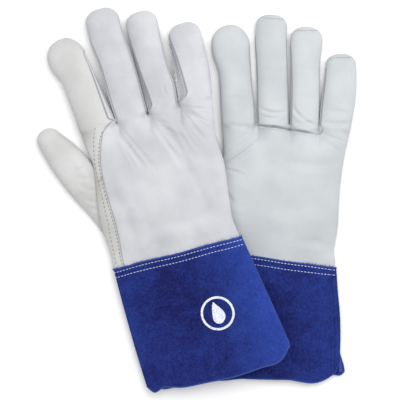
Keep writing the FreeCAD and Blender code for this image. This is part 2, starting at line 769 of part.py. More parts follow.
def put_in_place():
    """Place every piece with the middle of the pair over the origin."""
    middle = pair_middle()
    for shape, placement in pieces.values():
        shape.Placement = Placement(-middle, Rotation()) * placement
    doc.recompute()
    return middle


def check_model():
    """Stop if anything failed to build."""
    for thing in doc.Objects:
        if "Invalid" in thing.State or "Error" in thing.State:
            raise RuntimeError(f"{thing.Name} failed: {thing.State}")
    for name, (shape, _) in pieces.items():
        if shape.Shape.isNull() or not shape.Shape.isValid() or not shape.Shape.Solids:
            raise RuntimeError(f"{name} has no valid solid")


for alias, value, meaning in SIZES:
    add_cell(alias, value, meaning)
add_derived_cells()
make_pair()
doc.recompute()
PAIR_MIDDLE = put_in_place()
check_model()
os.makedirs("parts", exist_ok=True)
for name, (shape, _) in pieces.items():
    shape.Shape.exportStep(f"parts/{name}.step")
print(f"{len(pieces)} pieces, tilt {size(cell('tilt')):.2f}")
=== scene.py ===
"""A pair of leather welding gloves, the right one lying back up across the left one.

Every piece is drawn in its glove's own frame, in millimetres: x across the hand with the index
finger on the minus side, y from the wrist to the fingertips, z up from the surface under it.
"""

import json
import logging
import math
from dataclasses import dataclass, field
from enum import Enum

import bmesh
import bpy
import numpy as np
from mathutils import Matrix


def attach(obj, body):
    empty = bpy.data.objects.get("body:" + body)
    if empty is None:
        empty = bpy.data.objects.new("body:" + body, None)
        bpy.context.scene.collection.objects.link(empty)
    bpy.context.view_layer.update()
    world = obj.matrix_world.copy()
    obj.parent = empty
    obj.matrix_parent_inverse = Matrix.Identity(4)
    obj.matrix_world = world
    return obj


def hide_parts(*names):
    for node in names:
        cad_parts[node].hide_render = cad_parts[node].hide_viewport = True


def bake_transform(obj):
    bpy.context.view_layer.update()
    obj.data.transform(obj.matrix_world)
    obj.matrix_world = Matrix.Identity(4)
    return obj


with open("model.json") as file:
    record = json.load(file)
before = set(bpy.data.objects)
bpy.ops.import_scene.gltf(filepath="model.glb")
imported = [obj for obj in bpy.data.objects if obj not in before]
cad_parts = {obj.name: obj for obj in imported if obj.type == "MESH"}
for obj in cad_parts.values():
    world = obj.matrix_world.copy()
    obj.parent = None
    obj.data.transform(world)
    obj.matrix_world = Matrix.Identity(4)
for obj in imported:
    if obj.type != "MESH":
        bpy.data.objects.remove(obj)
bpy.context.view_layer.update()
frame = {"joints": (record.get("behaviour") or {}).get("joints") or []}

log = logging.getLogger("welding_gloves")

MM = 0.001
KNUCKLE_UP = 127.0  # mm, wrist to the fold lines of the fingers
FINGER_HIGH = 14.0  # mm, height of a finger where it leaves the hand
HAND_HIGH = 15.0  # mm, height of the hand
WRIST_HIGH = 8.6  # mm, height of the hand where the cuff holds it
CUFF_HIGH = 10.6  # mm, height of the cuff over the wrist
LEATHER = 1.1  # mm, thickness of the grain leather
SUEDE = 1.4  # mm, thickness of the cuff's split leather
CELL = 1.35  # mm, spacing of the grid lines along a piece
FINE_CELL = 0.62  # mm, the same about the fold lines, where seams and creases crowd
FINE_DIGIT = 16  # mm, how far the fine lines reach along a finger
FINE_HAND = 44  # mm, how far they reach back over the hand
SENSOR_WIDE = 36  # mm, width of the camera's sensor
EDGE_SHARE = 0.42  # height of the widest place, as a share of the whole height
FLOOR_GAP = 0.2  # mm, from the surface to the underside
HALF_PI = math.pi / 2
UNDER_EDGE = HALF_PI + 0.12  # radians, where a hand's upper panel meets its lower one
GROOVE_DEEP, GROOVE_WIDE = 0.95, 0.75  # mm, the valley where two pieces are sewn


class Side(Enum):
    """Which glove of the pair."""

    RIGHT = "right"
    LEFT = "left"


class LeafShape(Enum):
    """How a side strip of a finger narrows towards its tip."""

    TAPER = "taper"
    FULL = "full"
    LEAF = "leaf"

    def share(self, along: np.ndarray) -> np.ndarray:
        """The strip's width along it, as a share of its widest.

        Args:
            along: 0 at the crotch to 1 where the strip ends.

        Returns:
            The share, 0 from where the strip ends.
        """
        rest = np.clip(1 - along, 0, 1)
        if self is LeafShape.FULL:
            return (1 - np.clip(along, 0, 1) ** 4) * np.minimum(1, rest * 8)
        root, power = (0.06, 0.8) if self is LeafShape.TAPER else (0.12, 0.5)
        rounded = np.sqrt(np.clip(1 - (1 - np.clip(along / root, 0, 1)) ** 2, 0, 1))
        return rest**power * (0.2 + 0.8 * rounded)


# ---------------------------------------------------------------- numbers


def smooth(x: np.ndarray) -> np.ndarray:
    """A step from 0 to 1 with level ends."""
    x = np.clip(x, 0, 1)
    return x * x * (3 - 2 * x)


def spline(knots: np.ndarray, values: np.ndarray, at: np.ndarray) -> np.ndarray:
    """A smooth curve through values: cubic pieces whose slopes are the central differences.

    Args:
        knots: Rising positions of the values.
        values: One row for each knot.
        at: Where the curve is wanted.

    Returns:
        One row for each wanted position.
    """
    slopes = np.gradient(values, knots, axis=0)
    i = np.clip(np.searchsorted(knots, at, side="right") - 1, 0, len(knots) - 2)
    span = (knots[i + 1] - knots[i])[:, None]
    t = ((at - knots[i]) / span[:, 0])[:, None]
    return (
        (2 * t**3 - 3 * t**2 + 1) * values[i]
        + (t**3 - 2 * t**2 + t) * span * slopes[i]
        + (3 * t**2 - 2 * t**3) * values[i + 1]
        + (t**3 - t**2) * span * slopes[i + 1]
    )


def section(phi: np.ndarray, power: float) -> tuple[np.ndarray, np.ndarray]:
    """A superellipse by angle: across is sin to the 2/power, up is cos to the 2/power.

    Args:
        phi: Angle round the section, 0 at the top and 90 degrees at the plus side.
        power: 2 is an ellipse; more is squarer.

    Returns:
        Across and up, each from -1 to 1.
    """
    s, c = np.sin(phi), np.cos(phi)
    return np.sign(s) * np.abs(s) ** (2 / power), np.sign(c) * np.abs(c) ** (2 / power)


def angle_at(across: np.ndarray, power: float) -> np.ndarray:
    """The angle on the upper half of section() that lies at a share across."""
    return np.arcsin(np.clip(np.sign(across) * np.abs(across) ** (power / 2), -1, 1))


def unit(v: np.ndarray) -> np.ndarray:
    """Vectors of length 1 along the last axis."""
    return v / np.maximum(np.linalg.norm(v, axis=-1, keepdims=True), 1e-9)


def undulation(x: np.ndarray, y: np.ndarray) -> np.ndarray:
    """The uneven lie of soft leather: six sine waves, 66 to 17 mm long, at turned directions."""
    z = np.zeros_like(x)
    for k in range(6):
        wave = 66 / 1.31**k
        turn = 2.4 * k + 0.7
        z += wave * 0.0042 * np.sin(
            2 * np.pi * (x * math.cos(turn) + y * math.sin(turn)) / wave + 1.9 * k * k
        )
    return z


@dataclass(frozen=True)
class Crease:
    """A fold in the leather along a bowed line, with a raised shoulder on each side.

    A negative depth is a soft ridge.
    """

    start: tuple[float, float]
    bow: tuple[float, float]
    end: tuple[float, float]
    depth: float
    width: float

    def drop(self, x: np.ndarray, y: np.ndarray) -> np.ndarray:
        """How far the leather sinks at each place: a bell across the line, faded at its ends.

        Args:
            x: Places across the glove, mm.
            y: Places along the glove, mm.

        Returns:
            The depth in mm, the same shape as x.
        """
        t = np.linspace(0, 1, 48)[:, None]
        a, b, c = (np.array(p) for p in (self.start, self.bow, self.end))
        line = (1 - t) ** 2 * a + 2 * t * (1 - t) * b + t**2 * c
        away = (x.ravel()[:, None] - line[:, 0]) ** 2 + (y.ravel()[:, None] - line[:, 1]) ** 2
        near = away.argmin(1)
        d = np.sqrt(away[np.arange(len(near)), near]) / self.width
        fade = np.clip(np.sin(np.pi * (0.04 + 0.92 * near / 47)), 0, 1) ** 0.6
        bell = np.exp(-(d**2)) - 0.3 * np.exp(-((d - 2.1) ** 2))
        return (self.depth * fade * bell).reshape(x.shape)


def folds(*rows: tuple[float, ...]) -> tuple[Crease, ...]:
    """Creases from rows: across and along of start, bow and end, then depth and width."""
    return tuple(Crease(row[0:2], row[2:4], row[4:6], *row[6:]) for row in rows)


def pleats(one: tuple[float, ...], other: tuple[float, ...], count: int) -> tuple[Crease, ...]:
    """Fine folds spaced evenly between two, deeper and wider by turns.

    Args:
        one: The fold at one side of the family, as in folds.
        other: The fold at its other side.
        count: How many folds lie between them.

    Returns:
        The folds.
    """
    first, last = folds(one, other)
    made = []
    for k in range(count):
        t, turn = (k + 0.5) / count, 1 + 0.4 * math.sin(2.4 * k + 1)
        ends = zip((first.start, first.bow, first.end), (last.start, last.bow, last.end))
        line = [tuple((1 - t) * a + t * b for a, b in zip(p, q)) for p, q in ends]
        shift = 1.6 * math.sin(1.7 * k)
        line[0] = (line[0][0] + shift * 0.5, line[0][1] - abs(shift))
        depth = (1 - t) * first.depth + t * last.depth
        width = (1 - t) * first.width + t * last.width
        made.append(Crease(*line, depth * turn, width * turn))
    return tuple(made)


# ---------------------------------------------------------------- meshes


def grid_normals(points: np.ndarray) -> np.ndarray:
    """Outward directions of a grid: its second axis crossed with its first."""
    across = np.gradient(points, axis=1)
    along = np.gradient(points, axis=0)
    normals = np.cross(across, along)
    for row in (0, -1):
        if np.ptp(points[row], axis=0).max() < 1e-6:
            inner = 1 if row == 0 else -2
            normals[row] = unit(normals[inner]).mean(0)
    return unit(normals)


def border_distance(points: np.ndarray, borders: str) -> np.ndarray:
    """Distance of each grid point from the named borders, along the grid lines.

    Args:
        points: The grid.
        borders: Any of b (first row), t (last row), l (first column), r (last column).

    Returns:
        The distance in mm, large where no border is named.
    """
    across = np.linalg.norm(np.diff(points, axis=1), axis=-1)
    along = np.linalg.norm(np.diff(points, axis=0), axis=-1)
    x = np.pad(np.cumsum(across, axis=1), ((0, 0), (1, 0)))
    y = np.pad(np.cumsum(along, axis=0), ((1, 0), (0, 0)))
    choices = {"l": x, "r": x[:, -1:] - x, "b": y, "t": y[-1:] - y}
    far = np.full(points.shape[:2], 1e3)
    return np.minimum.reduce([far] + [choices[c] for c in borders])


def sew(points: np.ndarray, borders: str, deep: float = GROOVE_DEEP) -> np.ndarray:
    """Turns a piece's sewn borders down into the seam, behind a soft raised shoulder."""
    d = border_distance(points, borders) / GROOVE_WIDE
    push = -deep * np.exp(-(d**2)) + 0.22 * deep * np.exp(-((d - 2.6) ** 2) / 1.6)
    return points + grid_normals(points) * push[..., None]


def wall_mesh(name: str, outer: np.ndarray, thick: float, seam: np.ndarray) -> bpy.types.Mesh:
    """A closed wall: the outer grid, the same grid a thickness further in, and the rim.

    Args:
        name: Name of the mesh.
        outer: The outer surface in metres, rows along and columns across.
        thick: Thickness in metres.
        seam: Nearness to a seam, 0 to 1, for each grid point; on grain leather it also holds the
            painted shade of the deepest folds.

    Returns:
        The mesh, with smooth faces, sharp rims and a seam attribute.
    """
    n, m = outer.shape[:2]
    inner = outer - grid_normals(outer) * thick
    ids = np.arange(n * m).reshape(n, m)
    skin = np.stack([ids[:-1, :-1], ids[:-1, 1:], ids[1:, 1:], ids[1:, :-1]], -1).reshape(-1, 4)
    lining = skin[:, ::-1] + n * m
    loop = np.concatenate([ids[0, :-1], ids[:-1, -1], ids[-1, :0:-1], ids[:0:-1, 0]])
    after = np.roll(loop, -1)
    rim = np.stack([after, loop, loop + n * m, after + n * m], -1)
    mesh = bpy.data.meshes.new(name)
    points = np.concatenate([outer.reshape(-1, 3), inner.reshape(-1, 3)])
    mesh.from_pydata(points, [], np.concatenate([skin, lining, rim]))
    attribute = mesh.attributes.new("seam", "FLOAT", "POINT")
    attribute.data.foreach_set("value", np.tile(seam.ravel(), 2).astype(np.float32))
    merge_doubles(mesh)
    mesh.shade_smooth()
    mesh.set_sharp_from_angle(angle=math.radians(55))
    return mesh


def merge_doubles(mesh: bpy.types.Mesh) -> None:
    """Closes poles and seams by merging the points that coincide."""
    work = bmesh.new()
    work.from_mesh(mesh)
    bmesh.ops.remove_doubles(work, verts=work.verts, dist=2e-6)
    bmesh.ops.dissolve_degenerate(work, edges=work.edges, dist=1e-7)
    work.to_mesh(mesh)
    work.free()


def solid_of(name: str, points: np.ndarray, faces: np.ndarray) -> bpy.types.Mesh:
    """A mesh of many copies of one small shape.

    Args:
        name: Name of the mesh.
        points: Copies by points by 3, metres.
        faces: The faces of one copy, as rows of point numbers.

    Returns:
        The mesh.
    """
    copies, count = points.shape[:2]
    every = (faces[None] + np.arange(copies)[:, None, None] * count).reshape(-1, faces.shape[1])
    mesh = bpy.data.meshes.new(name)
    mesh.from_pydata(points.reshape(-1, 3), [], every)
    merge_doubles(mesh)
    mesh.shade_smooth()
    return mesh


def tube_faces(sides: int, rings: int) -> np.ndarray:
    """The four-sided faces of a tube whose points run ring by ring."""
    ring = np.arange(sides)
    after = (ring + 1) % sides
    band = np.stack([ring, after, after + sides, ring + sides], -1)
    return np.concatenate([band + k * sides for k in range(rings - 1)])


def fan(low: np.ndarray, high: np.ndarray, columns: int) -> np.ndarray:
    """Even angles from low to high, one line for each row."""
    return low[:, None] + (high - low)[:, None] * np.linspace(0, 1, columns)


def bars(
    middles: np.ndarray, along: np.ndarray, up: np.ndarray, size: tuple[float, float, float]
) -> tuple[np.ndarray, np.ndarray]:
    """Rounded bars, one for each middle: an eight-sided tube whose radius swells and closes.

    Args:
        middles: Their middles, mm.
        along: Unit directions of their length.
        up: Unit directions away from the surface.
        size: Length, width and height in mm.

    Returns:
        Copies by points by 3, and the faces of one copy.
    """
    stops, sides = 6, 8
    t = np.linspace(-1, 1, stops)
    swell = (1 - np.abs(t) ** 3.2) ** 0.5
    a = np.arange(sides) / sides * 2 * np.pi
    length, width, height = size
    side = unit(np.cross(along, up))
    local = np.stack(
        [
            np.repeat(t * length / 2, sides),
            np.outer(swell, np.cos(a)).ravel() * width / 2,
            np.outer(swell, np.sin(a)).ravel() * height / 2,
        ],
        -1,
    )
    basis = np.stack([along, side, up], 1)
    points = middles[:, None] + np.einsum("pk,ckd->cpd", local, basis)
    return points, tube_faces(sides, stops)


# ---------------------------------------------------------------- materials


def linear(code: str, alpha: float = 1.0) -> tuple[float, float, float, float]:
    """An sRGB hex colour as linear light."""
    parts = [int(code[i : i + 2], 16) / 255 for i in (1, 3, 5)]
    r, g, b = (c / 12.92 if c <= 0.04045 else ((c + 0.055) / 1.055) ** 2.4 for c in parts)
    return r, g, b, alpha


def add_node(
    tree: bpy.types.NodeTree, kind: str, settings: dict, **links: object
) -> bpy.types.Node:
    """Adds a shader node.

    Args:
        tree: The material's tree.
        kind: The node's type without its ShaderNode prefix.
        settings: Its properties by name; a name that is a socket sets that socket, and stops
            gives a colour ramp's positions and colours.
        links: Input sockets by name (underscores for spaces) and the outputs that feed them.

    Returns:
        The node.
    """
    node = tree.nodes.new("ShaderNode" + kind)
    for key, value in settings.items():
        if isinstance(key, int) or key in node.inputs:
            node.inputs[key].default_value = value
        elif key == "stops":
            for stop, (position, color) in zip(node.color_ramp.elements, value):
                stop.position, stop.color = position, color
        else:
            setattr(node, key, value)
    for key, output in links.items():
        name = key.replace("_", " ")
        socket = node.inputs[int(key[1:])] if key[1:].isdigit() else node.inputs[name]
        tree.links.new(output, socket)
    return node


def new_material(name: str) -> tuple[bpy.types.Material, bpy.types.NodeTree, bpy.types.Node]:
    """A material with nodes, its tree and its shader."""
    material = bpy.data.materials.new(name)
    material.use_nodes = True
    tree = material.node_tree
    return material, tree, tree.nodes["Principled BSDF"]


def set_sockets(shader: bpy.types.Node, **values: object) -> None:
    """Sets a shader's own sockets by name, with underscores for spaces."""
    for key, value in values.items():
        shader.inputs[key.replace("_", " ")].default_value = value


def per_mm(size: float) -> float:
    """The scale of a pattern on metre coordinates whose features are size millimetres wide."""
    return 1 / (size * MM)


@dataclass(frozen=True)
class GrainLeather:
    """Top-grain leather, drum dyed a pale tone and lightly plated.

    The eye gets a soft, even sheen, a fine pebbled grain, faint clouding of the dye and
    a darker tint at the seams and in the deepest folds, partly dirt and partly painted shade.
    """

    name: str
    face: str
    cloud: str
    # seam: the darker tint for seams and deepest folds, partly dirt and partly painted shade
    seam: str
    rough: float = 0.52

    def build(self) -> bpy.types.Material:
        """Makes the material."""
        material, tree, shader = new_material(self.name)
        place = add_node(tree, "TexCoord", {}).outputs["Object"]
        clouds = add_node(tree, "TexNoise", {"Scale": per_mm(38), "Detail": 3.0}, Vector=place)
        stops = ((0.38, linear(self.face)), (0.64, linear(self.cloud)))
        tone = add_node(tree, "ValToRGB", {"stops": stops}, Fac=clouds.outputs["Fac"])
        # the grain's pebbles are 0.5 mm in life, drawn 1.3 mm so that they show
        pebbles = {"Scale": per_mm(1.3), "feature": "DISTANCE_TO_EDGE"}
        grain = add_node(tree, "TexVoronoi", pebbles, Vector=place)
        pitting = {"Scale": per_mm(2.2), "Detail": 5.0, "Roughness": 0.65}
        pores = add_node(tree, "TexNoise", pitting, Vector=place)
        middling = {"From Min": 0.3, "From Max": 0.7}
        # dye settles in the pores, so the pebbles are a little paler than the lines between them
        shades = {**middling, "To Min": 0.972, "To Max": 1.02}
        pitted = add_node(tree, "MapRange", shades, Value=pores.outputs["Fac"])
        dyed = add_node(
            tree, "VectorMath", {"operation": "SCALE"},
            Vector=tone.outputs["Color"], Scale=pitted.outputs["Result"],
        )
        # the seam tint: dirt at the seams, and painted shade along the seams' steps and in the
        # deepest folds
        seam = add_node(tree, "Attribute", {"attribute_name": "seam"})
        grime_and_painted_shade = add_node(
            tree, "Mix", {"data_type": "RGBA", 7: linear(self.seam)},
            i0=seam.outputs["Fac"], i6=dyed.outputs["Vector"],
        )
        tree.links.new(grime_and_painted_shade.outputs[2], shader.inputs["Base Color"])
        gloss = {**middling, "To Min": self.rough - 0.07, "To Max": self.rough + 0.09}
        sheen = add_node(tree, "MapRange", gloss, Value=pores.outputs["Fac"])
        tree.links.new(sheen.outputs["Result"], shader.inputs["Roughness"])
        fine = add_node(
            tree, "Bump", {"Strength": 0.3, "Distance": 0.13 * MM},
            Height=grain.outputs["Distance"],
        )
        soft = add_node(
            tree, "Bump", {"Strength": 0.3, "Distance": 0.36 * MM},
            Height=pores.outputs["Fac"], Normal=fine.outputs["Normal"],
        )
        tree.links.new(soft.outputs["Normal"], shader.inputs["Normal"])
        set_sockets(shader, IOR=1.45, Specular_IOR_Level=0.38, Sheen_Weight=0.08)
        return material


@dataclass(frozen=True)
class SuedeLeather:
    """Split cowhide, dyed through and buffed to a nap.

    The eye gets a deep matt colour that shifts in brushed patches, a fibrous surface and a
    pale bloom where the nap catches light.
    """

    name: str
    deep: str
    bright: str
    edge: str

    def build(self) -> bpy.types.Material:
        """Makes the material."""
        material, tree, shader = new_material(self.name)
        place = add_node(tree, "TexCoord", {}).outputs["Object"]
        blotches = {"Scale": per_mm(20), "Detail": 6.0, "Roughness": 0.68, "Distortion": 0.4}
        patches = add_node(tree, "TexNoise", blotches, Vector=place)
        # the nap's fibres are 1 mm tufts, drawn a little longer along the glove
        drawn = add_node(tree, "Mapping", {"Scale": (1.0, 0.7, 1.0)}, Vector=place)
        tufts = {"Scale": per_mm(1.6), "Detail": 6.0, "Roughness": 0.75}
        fibres = add_node(tree, "TexNoise", tufts, Vector=drawn.outputs["Vector"])
        both = add_node(
            tree, "Mix", {"data_type": "FLOAT", 0: 0.62},
            i2=patches.outputs["Fac"], i3=fibres.outputs["Fac"],
        )
        # painted sheen: where the nap is brushed up it catches more light, so the tone is moved
        # along the ramp to paint that light
        brushed = add_node(tree, "Attribute", {"attribute_name": "nap"})
        lifted = add_node(
            tree, "Math", {"operation": "MULTIPLY_ADD", 1: 0.22},
            i0=brushed.outputs["Fac"], i2=both.outputs[0],
        )
        stops = ((0.4, linear(self.deep)), (0.8, linear(self.bright)))
        tone = add_node(tree, "ValToRGB", {"stops": stops}, Fac=lifted.outputs[0])
        edge = add_node(tree, "Attribute", {"attribute_name": "seam"})
        worn = add_node(
            tree, "Mix", {"data_type": "RGBA", 7: linear(self.edge)},
            i0=edge.outputs["Fac"], i6=tone.outputs["Color"],
        )
        tree.links.new(worn.outputs[2], shader.inputs["Base Color"])
        nap = add_node(
            tree, "Bump", {"Strength": 0.55, "Distance": 0.5 * MM}, Height=fibres.outputs["Fac"],
        )
        lie = add_node(
            tree, "Bump", {"Strength": 0.35, "Distance": 1.0 * MM},
            Height=patches.outputs["Fac"], Normal=nap.outputs["Normal"],
        )
        tree.links.new(lie.outputs["Normal"], shader.inputs["Normal"])
        set_sockets(shader, Roughness=0.94, Specular_IOR_Level=0.16, Sheen_Weight=0.12,
                    Sheen_Roughness=0.45, Sheen_Tint=linear(self.bright))
        return material


@dataclass(frozen=True)
class Thread:
    """Spun sewing thread, twisted from two plies.

    The eye gets a round, dull cord with slanting lines of the twist across each stitch.
    """

    name: str
    face: str
    shade: str

    def build(self) -> bpy.types.Material:
        """Makes the material."""
        material, tree, shader = new_material(self.name)
        place = add_node(tree, "TexCoord", {}).outputs["Object"]
        bands = {"Scale": per_mm(4.0), "Distortion": 2.0, "bands_direction": "DIAGONAL"}
        twist = add_node(tree, "TexWave", bands, Vector=place)
        tones = {"data_type": "RGBA", 6: linear(self.face), 7: linear(self.shade)}
        tone = add_node(tree, "Mix", tones, i0=twist.outputs["Fac"])
        tree.links.new(tone.outputs[2], shader.inputs["Base Color"])
        ply = add_node(
            tree, "Bump", {"Strength": 0.4, "Distance": 0.1 * MM}, Height=twist.outputs["Fac"],
        )
        tree.links.new(ply.outputs["Normal"], shader.inputs["Normal"])
        set_sockets(shader, Roughness=0.7, Specular_IOR_Level=0.3, Sheen_Weight=0.15)
        return material


@dataclass(frozen=True)
class PrintInk:
    """Plastisol ink printed on the nap.

    The eye gets a chalky white that breaks up where fibres stand through it.
    """

    name: str
    face: str
    through: str

    def build(self) -> bpy.types.Material:
        """Makes the material."""
        material, tree, shader = new_material(self.name)
        place = add_node(tree, "TexCoord", {}).outputs["Object"]
        tufts = {"Scale": per_mm(1.2), "Detail": 5.0, "Roughness": 0.7}
        fibres = add_node(tree, "TexNoise", tufts, Vector=place)
        stops = ((0.34, linear(self.through)), (0.5, linear(self.face)))
        tone = add_node(tree, "ValToRGB", {"stops": stops}, Fac=fibres.outputs["Fac"])
        tree.links.new(tone.outputs["Color"], shader.inputs["Base Color"])
        rough = add_node(
            tree, "Bump", {"Strength": 0.4, "Distance": 0.3 * MM}, Height=fibres.outputs["Fac"],
        )
        tree.links.new(rough.outputs["Normal"], shader.inputs["Normal"])
        set_sockets(shader, Roughness=0.75, Specular_IOR_Level=0.25)
        return material


@dataclass(frozen=True)
class Finishes:
    """The materials of the pair."""

    back: bpy.types.Material
    palm: bpy.types.Material
    left: bpy.types.Material
    suede: bpy.types.Material
    fuzz: bpy.types.Material
    white: bpy.types.Material
    aramid: bpy.types.Material
    shaded_white_thread: bpy.types.Material
    ink: bpy.types.Material

    @staticmethod
    def made() -> "Finishes":
        """Makes each material once."""
        grain, suede = GrainLeather, SuedeLeather
        finishes = {
            "back": grain("plated_goatskin_cool", "#C9CACE", "#B9BABF", "#85868B"),
            "palm": grain("plated_goatskin_warm", "#CACACA", "#BEBEBD", "#858682"),
            "left": grain("plated_goatskin_pale_grey", "#C1C5C8", "#B7BBBE", "#7C8184"),
            "suede": suede("split_cowhide_suede_royal", "#15174E", "#2C469F", "#40559A"),
            "fuzz": suede("suede_loose_nap", "#2C48A8", "#4A6FCB", "#4A6FCB"),
            "white": Thread("spun_polyester_thread_white", "#DCE4F4", "#9DACD0"),
            "aramid": Thread("spun_aramid_thread_straw", "#A9A483", "#7C775A"),
            # white thread drawn darker: painted shade for the tip stitches, which lie in shadow
            "shaded_white_thread": Thread("spun_polyester_thread_grey", "#9DA1A5", "#7D8286"),
            "ink": PrintInk("plastisol_ink_white", "#E9ECF4", "#6F80C2"),
        }
        return Finishes(**{name: finish.build() for name, finish in finishes.items()})


# ---------------------------------------------------------------- frames


@dataclass
class GloveFrame:
    """Where a glove's own frame stands, as an origin and three unit directions."""

    origin: np.ndarray
    axes: np.ndarray

    def world(self, points: np.ndarray) -> np.ndarray:
        """Millimetres in the glove's frame as metres in the pair's."""
        return self.origin + (np.asarray(points, float) * MM) @ self.axes

    @staticmethod
    def from_joints(side: Side, middle_across: float) -> "GloveFrame":
        """The frame that two fold joints of a glove fix.

        Args:
            side: Which glove.
            middle_across: The middle finger's fold line, from the glove's middle, in mm.

        Returns:
            The frame: x from the middle to the ring finger's joint, y level.
        """
        spot = {j["name"]: np.array(j["pos_m"]) for j in frame["joints"] if "pos_m" in j}
        middle, ring = (spot[f"{side.value}_{f}_fold"] for f in ("middle", "ring"))
        x = unit(ring - middle)
        y = unit(np.cross([0, 0, 1], x))
        z = np.cross(x, y)
        lever = np.array([middle_across, KNUCKLE_UP, FINGER_HIGH]) * MM
        return GloveFrame(middle - lever @ np.stack([x, y, z]), np.stack([x, y, z]))

    def laid_flat(self) -> "GloveFrame":
        """The same frame untilted about the long edge that it rests on."""
        x = unit(self.axes[0] * [1, 1, 0])
        rise = self.axes[0][2]
        out = self.origin[2] / rise if rise > 1e-6 else 0
        origin = self.origin - self.axes[0] * out + x * out
        return GloveFrame(origin, np.stack([x, self.axes[1], np.array([0.0, 0.0, 1.0])]))


# ---------------------------------------------------------------- pieces


@dataclass
class Maker:
    """Puts finished grids into the scene for one glove."""

    place: GloveFrame
    creases: tuple[Crease, ...]
    count: int = 0

    def crumple(self, points: np.ndarray) -> np.ndarray:
        """Adds the creases and the uneven lie to the upward faces of a grid."""
        x, y = points[..., 0], points[..., 1]
        fall = sum((c.drop(x, y) for c in self.creases), np.zeros_like(x)) - undulation(x, y)
        facing = np.clip(grid_normals(points)[..., 2], 0, 1)
        out = points.copy()
        out[..., 2] -= fall * facing
        return out

    def shade(self, points: np.ndarray) -> np.ndarray:
        """How strongly the deepest folds of a grid's upward faces are tinted darker, 0 to 1:
        painted shade in the folds, partly also dirt gathered there.
        """
        x, y = points[..., 0], points[..., 1]
        deep = sum((c.drop(x, y) for c in self.creases if c.depth > 1.7), np.zeros_like(x))
        return 0.62 * smooth((deep - 0.8) / 1.2) * (grid_normals(points)[..., 2] > 0)

    def leather(self, node: str, points: np.ndarray, borders: str, material: bpy.types.Material,
                suffix: str = "leather", slot: str = "grain_leather", thick: float = LEATHER,
                place: GloveFrame | None = None, seam_wide: float = 1.5) -> bpy.types.Object:
        """A wall of leather from its outer grid.

        Args:
            node: The CAD piece that it stands for.
            points: The outer grid, mm in the glove's frame.
            borders: The borders that are sewn or cut, as in border_distance.
            material: Its finish.
            suffix: What the piece is made of, for its name.
            slot: The record's material slot.
            thick: Thickness in mm.
            place: Another frame than the glove's.
            seam_wide: How far the seam's tint reaches, mm.

        Returns:
            The object, riding on nothing yet.
        """
        # the seam tint: nearness to a sewn or cut border, and on grain leather also the painted
        # shade of the deepest folds
        seam = np.exp(-((border_distance(points, borders) / seam_wide) ** 2))
        if slot == "grain_leather":
            seam = np.maximum(seam, self.shade(points))
        name = f"{node}_{suffix}"
        mesh = wall_mesh(name, (place or self.place).world(points), thick * MM, seam)
        return self.put(name, mesh, material, slot, node)

    def put(self, name: str, mesh: bpy.types.Mesh, material: bpy.types.Material, slot: str,
            node: str | None) -> bpy.types.Object:
        """Links a mesh as a piece with its finish and the CAD piece it replaces."""
        piece = bpy.data.objects.new(name, mesh)
        bpy.context.scene.collection.objects.link(piece)
        mesh.materials.append(material)
        if node:
            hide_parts(node)
        self.count += 1
        log.info("%s: %d faces", name, len(mesh.polygons))
        return piece


@dataclass
class Leaf:
    """A side strip of a finger, by the angles that it opens from the side."""

    top: float = 0.0
    bottom: float = 0.0
    shape: LeafShape = LeafShape.FULL
    gathers: float = 0.0
    ends: float = 0.9

    def opening(self, along: np.ndarray) -> tuple[np.ndarray, np.ndarray]:
        """The angles from the side to its upper and its lower seam, in radians."""
        share = self.shape.share(along / self.ends)
        return np.radians(self.top) * share, np.radians(self.bottom) * share


